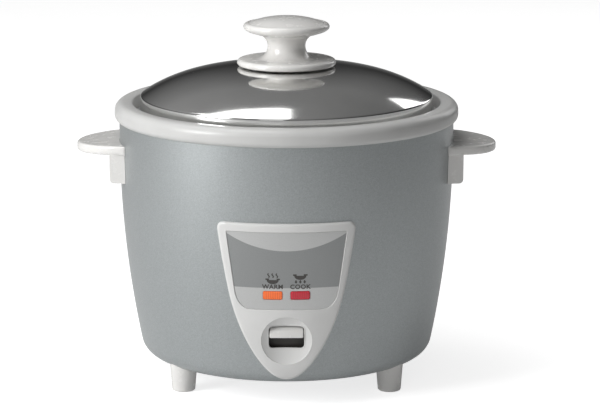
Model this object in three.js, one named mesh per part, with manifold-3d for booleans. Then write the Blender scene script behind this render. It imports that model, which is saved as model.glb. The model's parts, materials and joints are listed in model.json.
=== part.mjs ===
// A small conventional rice cooker: a barrel-shaped case on four feet, a plastic rim ring, a lift-out pot
// under a domed lid, and a magnetic thermostat switch that a lever on the front panel closes.
// Millimetres. +Z is up, the front faces -Y, and the origin is on the table under the pot's axis.

import * as THREE from "three";
import { mergeVertices } from "three/addons/utils/BufferGeometryUtils.js";
import Module from "manifold-3d";

const wasm = await Module();
wasm.setup();

// ---------------------------------------------------------------- driving dimensions

const gap = 0.3; // between pieces that touch
const slack = 0.45; // between pieces that move past each other

const round = 36; // facets round the large turned pieces
const facetFlat = Math.cos(Math.PI / round); // of a facet's middle, against its corners
const roundMid = 24;
const roundSmall = 12;
const roundScrew = 8;

const case_ = {
  radius: 101.6, // at the widest
  bulgeZ: 146, // height of the widest
  bulgeRadius: 625, // of the barrel curve of the side
  bottomZ: 14.2, // underside, which is the height of the feet
  fillet: 10, // bottom edge
  topZ: 162,
  wall: 0.8,
  mouth: 60, // hole in the underside
};

const ring = {
  radius: case_.radius + 2.9,
  bottomZ: case_.topZ - 3.2,
  topZ: case_.topZ + 7.2,
  lip: case_.radius - 8.1, // radius of the opening
  ledge: case_.radius - 15, // inner edge of the ledge that carries the pot
  ledgeZ: case_.topZ - 1.2,
  wall: 2.4,
  shoulder: 5.5, // rounding of the outer top edge
};

const well = { radius: ring.ledge - 2.1, bottomZ: 63.7, corner: 6, wall: 0.8, hole: 18.5 };

const plate = { radius: 71, topZ: well.bottomZ + 15.3, thick: 6.4, hole: 16.4 };
const heater = { coilRadius: 53, tube: 3.5, z: plate.topZ - 8.9, span: 320, terminalZ: well.bottomZ - 7.7 };
const rib = { inner: heater.coilRadius - 10, outer: heater.coilRadius + 10, bottomZ: plate.topZ - 12.6 };
const plateFoot = { radius: 3.6, at: 66.9, count: 3 };

const pot = {
  wallRadius: well.radius - 3.1, // outside, under the flange
  floorRadius: well.radius - 5.9, // outside, just above the bottom corner
  corner: 15,
  wall: 1.2,
  flange: ring.lip - 1.9,
};

const lid = {
  skirt: pot.flange - 2.8, // outside
  domeEdge: pot.flange - 4.2, // where a small shoulder turns into the dome
  skirtHeight: 11, // up to the dome's edge
  dome: 16.6, // rise of the dome
  fullness: 3.3, // power of the dome's curve: flat in the middle, round at the edge
  wall: 0.8,
  curl: 1.3, // width of the turned lower edge
};

const knob = {
  flange: 30.2,
  flangeRise: 0.4, // underside of the flange's rim, above the top of the dome
  flangeThick: 3.9,
  waist: 11.5,
  waistRadius: 7.6, // of the hollow curve of the stem
  disc: 26.2,
  discRise: 23.7, // the disc's widest, above the top of the dome
  topRise: 30,
  cap: 22.6,
  capDepth: 1.6,
};

const handle = {
  reach: case_.radius + 26, // from the axis to the tip
  half: 32.5, // half of its width along the case
  topZ: 145.6,
  thick: 5.5,
  bracket: case_.radius + 4.7, // outer face of the upright
  bottomZ: 123,
  screwZ: 131,
  screwY: 20,
};

const foot = { x: 62, y: 48, top: 8.1, bottom: 6.9, edge: 1, bore: 3.9, boreZ: 9.5 };

const panel = {
  proud: 2.6, // of the case
  topZ: 114,
  tipZ: 17.6,
  half: 40, // half width just under the top corners
  labelTop: 109.2,
  labelBottom: 61.8,
  labelHalf: 35.6,
  labelFloor: 1.2, // depth of the seat, measured out from the case
  labelThick: 0.7,
};

const dish = { z: 42.7, radius: 14.7, floorRadius: 13.4, floorY: case_.radius - 10.1, floor: 1.5, rim: 1.7 };
const window_ = { half: 10.35, bottom: 37.5, top: 51.5, corner: 2.6 };
const lens = { x: 8, z: 71, width: 11.3, height: 5, corner: 0.9, backY: case_.radius - 7.3 };

const lever = {
  pivotY: -38,
  pivotZ: 47,
  pin: 1.5,
  hub: 4,
  armHalf: 5,
  armZ: 46.1,
  armThick: 2.3,
  innerEnd: 3.2, // the arm runs this far past the axis
  noseTop: 50.9,
  noseBottom: 43.9,
  noseFront: case_.radius - 7.2,
  travel: 6.2, // degrees, down to the window's lower edge
  shroudFront: case_.radius - 13.6,
  shroudThick: 1.8,
  armEnd: case_.radius - 16.8, // the arm ends here, inside the knob
  bossBack: case_.radius - 23.6,
  shroudLap: 2, // past the window's edges, at both ends of the travel
};

const sensor = {
  radius: 15,
  wall: 1,
  bottomZ: plate.topZ - 18,
  ferrite: 13.6,
  ferriteZ: plate.topZ - 6.5,
  cupZ: well.bottomZ - 7.7,
};
const magnet = { radius: 9.5, topZ: sensor.ferriteZ - 6.4, thick: 5, rod: 2 };

const inlet = {
  z: 44,
  halfW: 13.5,
  halfH: 9.5,
  wall: 1.8,
  faceY: case_.radius - 4,
  backY: case_.radius - 23.6,
  pinX: 6.35,
  pin: 2,
};

// ---------------------------------------------------------------- geometry helpers

const rad = THREE.MathUtils.degToRad;
const p2 = (x, y) => new THREE.Vector2(x, y);
const p3 = (x, y, z) => new THREE.Vector3(x, y, z);

/** Points on a circle from angle a0 to a1 in degrees, both ends included. */
function arc(cx, cy, r, a0, a1, steps) {
  return Array.from({ length: steps + 1 }, (_, i) => {
    const a = rad(a0 + ((a1 - a0) * i) / steps);
    return p2(cx + r * Math.cos(a), cy + r * Math.sin(a));
  });
}

/** A closed manifold-3d solid, faces out, from a three.js geometry. */
function toSolid(geometry) {
  const bare = geometry.clone();
  bare.deleteAttribute("normal");
  bare.deleteAttribute("uv");
  const merged = mergeVertices(bare, 1e-4);
  const vertProperties = merged.attributes.position.array;
  const triVerts = new Uint32Array(merged.index.array);
  const made = new wasm.Manifold(new wasm.Mesh({ numProp: 3, vertProperties, triVerts }));
  if (made.volume() > 0) return made;
  return new wasm.Manifold(new wasm.Mesh({ numProp: 3, vertProperties, triVerts: triVerts.reverse() }));
}

/** A three.js geometry from a manifold-3d solid. */
function toGeometry(solid) {
  const { vertProperties, triVerts } = solid.getMesh();
  const geometry = new THREE.BufferGeometry();
  geometry.setAttribute("position", new THREE.BufferAttribute(vertProperties, 3));
  geometry.setIndex(new THREE.BufferAttribute(triVerts, 1));
  geometry.computeVertexNormals();
  return geometry;
}

function combine(operation, first, others) {
  return toGeometry(others.reduce((made, g) => made[operation](toSolid(g)), toSolid(first)));
}
const join = (first, ...others) => combine("add", first, others);
const cut = (first, ...others) => combine("subtract", first, others);
const common = (first, ...others) => combine("intersect", first, others);

/** Turns a profile of (radius, height) points about Z. It starts and ends on the axis, or is closed here. */
function turned(profile, segments) {
  const open = profile[0].x === 0 && profile.at(-1).x === 0;
  const points = open ? profile : [...profile, profile[0]];
  return toGeometry(toSolid(new THREE.LatheGeometry(points, segments).rotateX(Math.PI / 2)));
}

/** A solid cylinder along Z, from z0 to z1. */
function rod(radius, z0, z1, segments) {
  return turned([p2(0, z0), p2(radius, z0), p2(radius, z1), p2(0, z1)], segments);
}

/** A box between two corners. */
function block(x0, y0, z0, x1, y1, z1) {
  const box = new THREE.BoxGeometry(x1 - x0, y1 - y0, z1 - z0);
  return box.translate((x0 + x1) / 2, (y0 + y1) / 2, (z0 + z1) / 2);
}

/** An outline drawn in X and Z, extruded from y0 to y1. */
function frontExtrusion(shape, y0, y1, curveSegments = 6) {
  const made = new THREE.ExtrudeGeometry(shape, { depth: y1 - y0, bevelEnabled: false, curveSegments });
  return made.rotateX(Math.PI / 2).translate(0, y1, 0);
}

/** An outline drawn in X and Y, extruded from z0 to z1. */
function flatExtrusion(shape, z0, z1, curveSegments = 6) {
  return new THREE.ExtrudeGeometry(shape, { depth: z1 - z0, bevelEnabled: false, curveSegments }).translate(0, 0, z0);
}

function roundedBox(halfW, halfH, corner, cx = 0, cy = 0) {
  const points = [
    ...arc(cx + halfW - corner, cy - halfH + corner, corner, -90, 0, 3),
    ...arc(cx + halfW - corner, cy + halfH - corner, corner, 0, 90, 3),
    ...arc(cx - halfW + corner, cy + halfH - corner, corner, 90, 180, 3),
    ...arc(cx - halfW + corner, cy - halfH + corner, corner, 180, 270, 3),
  ];
  return new THREE.Shape(points);
}

/** A round wire or tube along points, with a step count of its own. */
function tube(points, radius, steps, sides) {
  const section = new THREE.Shape(arc(0, 0, radius, 0, 360 - 360 / sides, sides - 1));
  const extrudePath = new THREE.CatmullRomCurve3(points, false, "centripetal");
  return new THREE.ExtrudeGeometry(section, { steps, extrudePath, bevelEnabled: false });
}

/** A coil spring about Z from z0 to z1. */
function coil(radius, wire, z0, z1, turns) {
  const perTurn = 9;
  const count = turns * perTurn;
  const points = Array.from({ length: count + 1 }, (_, i) => {
    const a = (2 * Math.PI * i) / perTurn;
    return p3(radius * Math.cos(a), radius * Math.sin(a), z0 + ((z1 - z0) * i) / count);
  });
  return tube(points, wire, count, 5);
}

/** A pan-head screw along +Z with the underside of its head at the origin. */
function screw(head, headHeight, shank, length) {
  return turned(
    [p2(0, -headHeight), p2(head * 0.7, -headHeight), p2(head, -headHeight * 0.5), p2(head, 0), p2(shank, 0),
      p2(shank, length - shank), p2(0, length)],
    roundScrew,
  );
}

// ---------------------------------------------------------------- the case's outline

const barrel = { x: case_.radius - case_.bulgeRadius, z: case_.bulgeZ };
const filletZ = case_.bottomZ + case_.fillet;
const filletX = barrel.x + Math.sqrt((case_.bulgeRadius - case_.fillet) ** 2 - (barrel.z - filletZ) ** 2);
const tangent = THREE.MathUtils.radToDeg(Math.atan2(filletZ - barrel.z, filletX - barrel.x));

/** The case's outside from the bottom fillet to the top, moved out by an offset. */
function caseOutline(offset) {
  return [
    ...arc(filletX, filletZ, case_.fillet + offset, -90, tangent, 3),
    ...arc(barrel.x, barrel.z, case_.bulgeRadius + offset, tangent, 0, 5).slice(1),
    p2(case_.radius + offset, case_.topZ),
  ];
}

/** Radius of the case's outside at a height on the barrel curve. */
const caseRadiusAt = (z) => barrel.x + Math.sqrt(case_.bulgeRadius ** 2 - (z - barrel.z) ** 2);

/** The case as a solid lump, grown by an offset: what sits on the case is cut by it. */
function caseLump(offset) {
  return turned([p2(0, case_.bottomZ - offset), ...caseOutline(offset), p2(0, case_.topZ)], round);
}

// ---------------------------------------------------------------- materials

const finish = (color, roughness, metalness) => new THREE.MeshStandardMaterial({ color, roughness, metalness });
const silverPaint = finish(0x959c9f, 0.42, 0.55);
const ringPlastic = finish(0xd5d9dc, 0.38, 0);
const whitePlastic = finish(0xeceae6, 0.3, 0);
const mirrorSteel = finish(0xc6c8ca, 0.08, 1);
const potAluminium = finish(0xb9bbbd, 0.35, 1);
const castAluminium = finish(0xa3a5a6, 0.5, 1);
const zincSteel = finish(0x9a9c9d, 0.4, 1);
const brass = finish(0xb08d4c, 0.35, 1);
const orangeLens = finish(0xf0551e, 0.2, 0);
const redLens = finish(0xb01722, 0.2, 0);
const neonGlass = finish(0xe8d8c8, 0.1, 0);
const labelFilm = finish(0x8f9799, 0.35, 0.3);
const darkMoulding = finish(0x3a352f, 0.6, 0);
const ferriteBlack = finish(0x2b2b2d, 0.7, 0);

const cooker = new THREE.Group();

function part(name, geometry, material, parent = cooker) {
  const mesh = new THREE.Mesh(geometry, material);
  mesh.name = name;
  parent.add(mesh);
  return mesh;
}

// ---------------------------------------------------------------- case, ring, well and base

const footSpots = [
  ["front_left", -1, -1],
  ["front_right", 1, -1],
  ["rear_left", -1, 1],
  ["rear_right", 1, 1],
].map(([where, sx, sy]) => ({ where, x: sx * foot.x, y: sy * foot.y }));
const footScrew = { head: 3.4, headHeight: 2.2, shank: 1.7, length: 12 };

const lampSlot = { half: lens.x + lens.width / 2 + 1.95, height: lens.height + 4 };
const dishHole = dish.radius + dish.rim + 2 * gap;

function outerShell() {
  const inner = caseOutline(-case_.wall).reverse();
  const skin = turned(
    [p2(case_.mouth, case_.bottomZ), ...caseOutline(0), ...inner, p2(case_.mouth, case_.bottomZ + case_.wall)],
    round,
  );
  const dishOpening = rod(dishHole, 0, case_.radius, roundMid).rotateX(Math.PI / 2).translate(0, 0, dish.z);
  const lampShape = roundedBox(lampSlot.half, lampSlot.height / 2, 1, 0, lens.z);
  const lampOpening = frontExtrusion(lampShape, -case_.radius - 5, 0);
  const inletShape = roundedBox(inlet.halfW + gap, inlet.halfH + gap, 2, 0, inlet.z);
  const inletOpening = frontExtrusion(inletShape, 0, case_.radius + 5);
  const screwHoles = footSpots.map(({ x, y }) => rod(footScrew.shank + gap, 10, 20, roundScrew).translate(x, y, 0));
  const handleHoles = handleScrews.map(({ side, y }) =>
    rod(handleScrew.shank + gap, case_.radius - 12, case_.radius + 8, roundScrew)
      .rotateY((side * Math.PI) / 2).translate(0, y, handle.screwZ));
  const inletHoles = inletScrewX.map((x) =>
    rod(inletScrew.shank + gap, inlet.backY, case_.radius + 8, roundScrew)
      .rotateX(-Math.PI / 2).translate(x, 0, inlet.z));
  return cut(skin, dishOpening, lampOpening, inletOpening, ...screwHoles, ...handleHoles, ...inletHoles);
}

function topRing() {
  const { radius, bottomZ, topZ, lip, ledge, ledgeZ, wall, shoulder } = ring;
  const outside = case_.radius + gap;
  const inside = case_.radius - case_.wall - gap;
  return turned(
    [
      p2(outside, bottomZ),
      p2(outside + 0.6, bottomZ),
      p2(radius - 0.5, bottomZ + 1.2),
      p2(radius, bottomZ + 2.8),
      ...arc(radius - shoulder, topZ - shoulder, shoulder, 15, 80, 4),
      p2(radius - shoulder - 1.5, topZ),
      p2(lip, topZ - 1),
      p2(lip, ledgeZ),
      p2(ledge, ledgeZ),
      p2(ledge, ledgeZ - wall),
      p2(lip + wall, ledgeZ - wall),
      p2(lip + wall, topZ - wall),
      p2(inside, topZ - wall - 1),
      p2(inside, case_.topZ + gap),
      p2(outside, case_.topZ + gap),
    ],
    round,
  );
}

const terminalAngles = [90 + (360 - heater.span) / 2, 90 - (360 - heater.span) / 2];
const onCircle = (radius, degrees, z) => p3(radius * Math.cos(rad(degrees)), radius * Math.sin(rad(degrees)), z);
const plateFeet = Array.from({ length: plateFoot.count }, (_, i) => onCircle(plateFoot.at, -90 + 60 + 120 * i, 0));
const plateScrew = { head: 3, headHeight: 2, shank: 1.5, length: 8 };

function innerWell() {
  const top = ring.ledgeZ - ring.wall - gap;
  const lip = ring.lip + ring.wall - 1;
  const { radius, bottomZ, corner, wall, hole } = well;
  const shell = turned(
    [
      p2(hole, bottomZ),
      ...arc(radius - corner, bottomZ + corner, corner, -90, 0, 3),
      p2(radius, top - wall),
      p2(lip, top - wall),
      p2(lip, top),
      p2(radius - wall, top),
      ...arc(radius - corner, bottomZ + corner, corner - wall, 0, -90, 3),
      p2(hole, bottomZ + wall),
    ],
    round,
  );
  const z0 = bottomZ - 2;
  const z1 = bottomZ + 3;
  const terminalHoles = terminalAngles.map((a) => {
    const at = onCircle(heater.coilRadius, a, 0);
    return rod(heater.tube + 1.2, z0, z1, roundSmall).translate(at.x, at.y, 0);
  });
  const screwHoles = plateFeet.map((at) => rod(plateScrew.shank + gap, z0, z1, roundScrew).translate(at.x, at.y, 0));
  return cut(shell, ...terminalHoles, ...screwHoles);
}

function basePlate() {
  const z0 = case_.bottomZ + case_.wall + gap;
  const thick = 1;
  const collar = { radius: 3.4, height: 5 };
  const disc = rod(filletX - 1.5, z0, z0 + thick, round);
  const collars = footSpots.map(({ x, y }) =>
    rod(collar.radius, z0 + thick * 0.8, z0 + thick + collar.height, roundScrew).translate(x, y, 0));
  const holes = footSpots.map(({ x, y }) =>
    rod(footScrew.shank + gap, z0 - 1, z0 + 10, roundScrew).translate(x, y, 0));
  const slots = Array.from({ length: 8 }, (_, i) =>
    block(24, -1.8, z0 - 1, 44, 1.8, z0 + 3).rotateZ(rad(22.5 + 45 * i)));
  return cut(join(disc, ...collars), ...holes, ...slots);
}

// ---------------------------------------------------------------- feet and handles

function footShape() {
  const { top, bottom, edge, bore, boreZ } = foot;
  const hole = footScrew.shank + gap;
  const height = case_.bottomZ + 4;
  return turned(
    [p2(bore, 0), p2(bottom - edge, 0), p2(bottom - edge * 0.3, edge * 0.3), p2(bottom, edge), p2(top, height),
      p2(hole, height), p2(hole, boreZ), p2(bore, boreZ)],
    roundSmall,
  );
}

const handleScrew = { head: 3.2, headHeight: 2, shank: 1.6, length: 6.6 };
const handleScrews = [-1, 1].flatMap((side) => [-1, 1].map((end) => ({ side, end, y: end * handle.screwY })));

/** The right-hand handle: a rounded thumb plate on an upright, both shaped to the case. */
function handleShape() {
  const { reach, half, topZ, thick, bracket, bottomZ } = handle;
  const root = case_.radius - 12;
  const plan = new THREE.Shape();
  plan.moveTo(root, -half);
  plan.absellipse(root, 0, reach - root, half, -Math.PI / 2, Math.PI / 2, false, 0);
  plan.lineTo(root, half);
  const thumbPlate = flatExtrusion(plan, topZ - thick, topZ, 16);
  const corner = 6;
  const side = new THREE.Shape([
    p2(root, topZ - 1),
    p2(root, bottomZ),
    ...arc(bracket - corner - 0.8, bottomZ + corner, corner, -90, 0, 3),
    p2(bracket, topZ - thick - 3),
    ...arc(bracket + 3, topZ - thick - 3, 3, 180, 90, 2),
    p2(bracket + 3, topZ - 1),
  ]);
  const upright = frontExtrusion(side, -half + 0.6, half - 0.6, 4);
  const holes = [-1, 1].map((end) =>
    rod(handleScrew.shank + gap, root, bracket - 1.6, roundScrew).rotateY(Math.PI / 2)
      .translate(0, end * handle.screwY, handle.screwZ));
  return cut(join(thumbPlate, upright), caseLump(gap), ...holes);
}

// ---------------------------------------------------------------- front panel

/** The panel's outline, from its tip up its right side and down its left. */
function panelShape() {
  const { topZ, tipZ, half } = panel;
  const shape = new THREE.Shape();
  shape.moveTo(0, tipZ);
  shape.bezierCurveTo(12, tipZ, 27.5, 43, 33.5, 71);
  shape.quadraticCurveTo(37.3, 89, half, topZ - 5.4);
  shape.quadraticCurveTo(half + 0.9, topZ, half - 4.6, topZ);
  shape.lineTo(-half + 4.6, topZ);
  shape.quadraticCurveTo(-half - 0.9, topZ, -half, topZ - 5.4);
  shape.quadraticCurveTo(-37.3, 89, -33.5, 71);
  shape.bezierCurveTo(-27.5, 43, -12, tipZ, 0, tipZ);
  return shape;
}

/** The label's outline, drawn in by a margin. */
function labelShape(margin) {
  const top = panel.labelTop - margin;
  const bottom = panel.labelBottom + margin;
  const half = panel.labelHalf - margin;
  const waist = 30 - margin;
  const footHalf = 21.4 - margin;
  const shape = new THREE.Shape();
  shape.moveTo(-half, top);
  shape.lineTo(-waist, bottom + 10.5);
  shape.quadraticCurveTo(-28.4 + margin, bottom, -footHalf, bottom);
  shape.lineTo(footHalf, bottom);
  shape.quadraticCurveTo(28.4 - margin, bottom, waist, bottom + 10.5);
  shape.lineTo(half, top);
  return shape;
}

const frontOf = -case_.radius - 10;
const lensShape = (x, margin) =>
  roundedBox(lens.width / 2 + margin, lens.height / 2 + margin, lens.corner, x, lens.z);

function controlPanel() {
  const layer = cut(caseLump(panel.proud), caseLump(gap));
  const skin = common(layer, frontExtrusion(panelShape(), frontOf, -60, 8));
  const boss = common(
    rod(dish.radius + dish.rim, dish.floorY - dish.floor, case_.radius + 5, roundMid)
      .rotateX(Math.PI / 2).translate(0, 0, dish.z),
    caseLump(panel.proud),
  );
  const seat = cut(frontExtrusion(labelShape(0), frontOf, -70, 6), caseLump(panel.labelFloor));
  const depth = 12;
  const bowl = turned(
    [p2(0, dish.floorY), p2(dish.floorRadius, dish.floorY),
      p2(dish.radius + (dish.radius - dish.floorRadius) * 1.2, dish.floorY + depth), p2(0, dish.floorY + depth)],
    roundMid,
  ).rotateX(Math.PI / 2).translate(0, 0, dish.z);
  const { half, bottom, top, corner } = window_;
  const opening = roundedBox(half, (top - bottom) / 2, corner, 0, (top + bottom) / 2);
  const lensHoles = [-lens.x, lens.x].map((x) => frontExtrusion(lensShape(x, gap), frontOf, -80));
  return cut(join(skin, boss), seat, bowl, frontExtrusion(opening, frontOf, -80), ...lensHoles);
}

function panelLabel() {
  const low = panel.labelFloor + gap;
  const layer = cut(caseLump(low + panel.labelThick), caseLump(low));
  const film = common(layer, frontExtrusion(labelShape(gap), frontOf, -70, 6));
  const holes = [-lens.x, lens.x].map((x) => frontExtrusion(lensShape(x, gap), frontOf, -80));
  return cut(film, ...holes);
}

const lensBody = (x) => common(
  frontExtrusion(lensShape(x, 0), frontOf, -lens.backY),
  caseLump(panel.labelFloor + gap + panel.labelThick + 0.3),
);

const bulb = { radius: 1.9, length: 8.4, y: -lens.backY + 2.9 };
const lampTray = { halfHeight: 4.2, back: lens.backY - 6.7, pocketBack: lens.backY - 5.5 };

function lampHolder() {
  const front = -lens.backY + gap;
  const half = lampSlot.half - gap;
  const { halfHeight, back, pocketBack } = lampTray;
  const tray = block(-half, front, lens.z - halfHeight, half, -back, lens.z + halfHeight);
  const reach = bulb.length / 2 + 1;
  const pockets = [-lens.x, lens.x].map((x) =>
    block(x - reach, front - 1, lens.z - 2.5, x + reach, -pocketBack, lens.z + 2.5));
  return cut(tray, ...pockets);
}

// ---------------------------------------------------------------- heating plate and thermostat

function heatingPlate() {
  const { radius, topZ, thick, hole } = plate;
  const under = topZ - thick;
  const grooveHalf = heater.tube + gap;
  const casting = turned(
    [
      p2(hole, under),
      p2(rib.inner, under),
      p2(rib.inner + 1, rib.bottomZ),
      p2(heater.coilRadius - grooveHalf, rib.bottomZ),
      p2(heater.coilRadius - grooveHalf, heater.z + grooveHalf),
      p2(heater.coilRadius + grooveHalf, heater.z + grooveHalf),
      p2(heater.coilRadius + grooveHalf, rib.bottomZ),
      p2(rib.outer - 1, rib.bottomZ),
      p2(rib.outer, under),
      p2(radius, under),
      p2(radius, topZ - 1.5),
      p2(radius - 1.5, topZ),
      p2(hole, topZ),
    ],
    round,
  );
  const footZ = well.bottomZ + well.wall + gap;
  const feet = plateFeet.map((at) => rod(plateFoot.radius, footZ, under + 2, roundSmall).translate(at.x, at.y, 0));
  const holes = plateFeet.map((at) =>
    rod(plateScrew.shank + gap, footZ - 1, footZ + plateScrew.length, roundScrew).translate(at.x, at.y, 0));
  return cut(join(casting, ...feet), ...holes);
}

function heaterElement() {
  const steps = 30;
  const start = terminalAngles[0];
  const ringPoints = Array.from({ length: steps + 1 }, (_, i) =>
    onCircle(heater.coilRadius, start + 4 + ((heater.span - 8) * i) / steps, heater.z));
  const end = start + heater.span;
  const down = (angle) => [
    onCircle(heater.coilRadius, angle, heater.z - 4),
    onCircle(heater.coilRadius, angle, heater.terminalZ),
  ];
  return tube([...down(start).reverse(), ...ringPoints, ...down(end)], heater.tube - 0.5, 34, 6);
}

function thermostatCup() {
  const outer = well.hole - 0.6;
  const inner = outer - 1.2;
  const top = plate.topZ - plate.thick - gap;
  const hole = magnet.rod + 0.8;
  return turned(
    [p2(hole, sensor.cupZ), p2(outer, sensor.cupZ), p2(outer, top), p2(inner, top), p2(inner, sensor.cupZ + 1.2),
      p2(hole, sensor.cupZ + 1.2)],
    roundMid,
  );
}

function sensorCap() {
  const { radius, wall, bottomZ } = sensor;
  const top = plate.topZ;
  return turned(
    [p2(0, top), p2(radius - 1.2, top), p2(radius, top - 1.2), p2(radius, bottomZ), p2(radius - wall, bottomZ),
      p2(radius - wall, top - 1.2), p2(0, top - 1.2)].reverse(),
    roundMid,
  );
}

function magnetWithRod() {
  const bottom = magnet.topZ - magnet.thick;
  const tip = lever.armZ + lever.armThick + gap;
  return turned(
    [p2(0, tip), p2(magnet.rod * 0.6, tip), p2(magnet.rod, tip + 1), p2(magnet.rod, bottom), p2(magnet.radius, bottom),
      p2(magnet.radius, magnet.topZ), p2(0, magnet.topZ)],
    roundMid,
  );
}

// ---------------------------------------------------------------- lever and switch

const tab = { y: -20, half: 2.2, reach: 24 };
const contact = { x: -24, leafHalf: 2.6, leafZ: 48.9, leafThick: 0.4, tipY: -15.5, rootY: -52, fixedZ: 53.6 };

function leverArm() {
  const { pivotY, pivotZ, pin, hub, armHalf, armZ, armThick, innerEnd } = lever;
  const top = armZ + armThick;
  const strip = block(-armHalf, -lever.armEnd, armZ, armHalf, innerEnd, top);
  const finger = block(-tab.reach - 2, tab.y - tab.half, armZ, 0, tab.y + tab.half, top);
  const barrelOf = (r, half) => rod(r, -half, half, roundSmall).rotateY(Math.PI / 2).translate(0, pivotY, pivotZ);
  return cut(join(strip, finger, barrelOf(hub, armHalf)), barrelOf(pin + gap, armHalf + 2));
}

function leverKnob() {
  const { noseTop, noseBottom, noseFront, armHalf, armZ, armThick } = lever;
  const { shroudFront, shroudThick, shroudLap } = lever;
  const half = window_.half - slack;
  const back = -shroudFront + shroudThick;
  const nose = new THREE.Shape([
    p2(half - 1, noseBottom),
    p2(half, noseBottom + 1),
    p2(half, noseTop - 1),
    p2(half - 1, noseTop),
    p2(-half + 1, noseTop),
    p2(-half, noseTop - 1),
    p2(-half, noseBottom + 1),
    p2(-half + 1, noseBottom),
  ]);
  const paddle = frontExtrusion(nose, -noseFront, -shroudFront + 0.5);
  const drop = (shroudFront + lever.pivotY) * Math.sin(rad(lever.travel));
  const shroudLow = window_.bottom - shroudLap;
  const shroudHigh = window_.top + drop + shroudLap;
  const shroud = block(-half - 1.6, -shroudFront, shroudLow, half + 1.6, back, shroudHigh);
  const boss = block(-armHalf - 2, back - 0.5, armZ - 2, armHalf + 2, -lever.bossBack, armZ + armThick + 2);
  const socket = block(-armHalf - gap, -lever.armEnd - gap, armZ - gap, armHalf + gap, -lever.bossBack + 8, armZ + armThick + gap);
  return cut(join(paddle, shroud, boss), socket);
}

const cheek = { x: 9.2, thick: 1.2, half: 8 };

function leverBracket() {
  const top = well.bottomZ - gap;
  const outer = cheek.x + cheek.thick;
  const web = top - 1.2;
  const low = lever.pivotZ - 5;
  const hat = new THREE.Shape([
    p2(-outer - 7, web), p2(-outer, web), p2(-outer, low), p2(-cheek.x, low), p2(-cheek.x, web),
    p2(cheek.x, web), p2(cheek.x, low), p2(outer, low), p2(outer, web), p2(outer + 7, web),
    p2(outer + 7, top), p2(-outer - 7, top),
  ]);
  const frame = frontExtrusion(hat, lever.pivotY - cheek.half, lever.pivotY + cheek.half);
  const hole = rod(lever.pin + gap, -30, 30, roundSmall).rotateY(Math.PI / 2).translate(0, lever.pivotY, lever.pivotZ);
  return cut(frame, hole);
}

function contactBlock() {
  const { x, leafHalf, leafZ, leafThick, fixedZ, rootY } = contact;
  const body = block(x - 5.5, rootY - 6, leafZ - 4, x + 5.5, rootY + 3, well.bottomZ - gap);
  const slot = (z, room) =>
    block(x - leafHalf - gap, rootY - 0.5, z - room, x + leafHalf + gap, rootY + 8, z + leafThick + room);
  return cut(body, slot(leafZ, 0.5), slot(fixedZ, gap));
}

/** A contact strip along Y with its rivet, on the side given by sign. */
function contactLeaf(z, sign, tipY) {
  const { x, leafHalf, leafThick, rootY } = contact;
  const strip = block(x - leafHalf, rootY, z, x + leafHalf, tipY, z + leafThick);
  const face = sign > 0 ? z + leafThick : z;
  const rivet = rod(1.6, Math.min(face, face + sign * 0.9) - 0.1, Math.max(face, face + sign * 0.9) + 0.1, roundScrew);
  return join(strip, rivet.translate(x, tipY - 5.5, 0));
}

// ---------------------------------------------------------------- mains inlet

const inletScrewX = [-19, 19];
const inletScrew = { head: 3, headHeight: 1.8, shank: 1.5, length: 8 };
const inletFlange = { halfW: 24, halfH: 13 };

function inletHousing() {
  const { z, halfW, halfH, wall, faceY, backY } = inlet;
  const flange = cut(
    frontExtrusion(roundedBox(inletFlange.halfW, inletFlange.halfH, 3, 0, z), backY + 2, faceY),
    caseLump(gap),
  );
  const box = frontExtrusion(roundedBox(halfW, halfH, 2, 0, z), backY, faceY);
  const cavity = frontExtrusion(roundedBox(halfW - wall, halfH - wall, 1.4, 0, z), backY + 2, faceY + 5);
  const pinHoles = [-1, 1].map((s) =>
    rod(inlet.pin + gap, backY - 18, backY + 7, roundScrew).rotateX(-Math.PI / 2).translate(s * inlet.pinX, 0, z));
  const screwHoles = inletScrewX.map((x) =>
    rod(inletScrew.shank + gap, backY + 2, faceY + 12, roundScrew)
      .rotateX(-Math.PI / 2).translate(x, 0, z));
  return cut(join(flange, box), cavity, ...pinHoles, ...screwHoles);
}

/** A contact pin along +Y that starts at its solder tab inside the case. */
function inletPin() {
  const { pin, backY } = inlet;
  const tip = backY + 14;
  return turned(
    [p2(0, backY - 5), p2(pin * 0.6, backY - 5), p2(pin * 0.6, backY - 1), p2(pin, backY - 1), p2(pin, tip - 1.5),
      p2(pin * 0.5, tip), p2(0, tip)],
    roundSmall,
  ).rotateX(-Math.PI / 2);
}

// ---------------------------------------------------------------- pot, lid and knob

const potFloorZ = plate.topZ + gap;
const potFlangeZ = ring.ledgeZ + gap;

function innerPot() {
  const { wallRadius, floorRadius, corner, wall, flange } = pot;
  const top = potFlangeZ + wall;
  const low = potFloorZ + corner;
  return turned(
    [
      p2(0, potFloorZ),
      ...arc(floorRadius - corner, low, corner, -90, 0, 4),
      p2(wallRadius, potFlangeZ - 1.5),
      p2(wallRadius + 1.2, potFlangeZ),
      p2(flange, potFlangeZ),
      p2(flange, top),
      p2(wallRadius, top),
      p2(wallRadius - wall, top - 1.2),
      ...arc(floorRadius - corner, low, corner - wall, 0, -90, 4),
      p2(0, potFloorZ + wall),
    ],
    round,
  );
}

const lidFootZ = potFlangeZ + pot.wall + gap;
const lidEdgeZ = lidFootZ + lid.skirtHeight;
const domeHeight = (r) => lidEdgeZ + lid.dome * (1 - (r / lid.domeEdge) ** lid.fullness);

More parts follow.
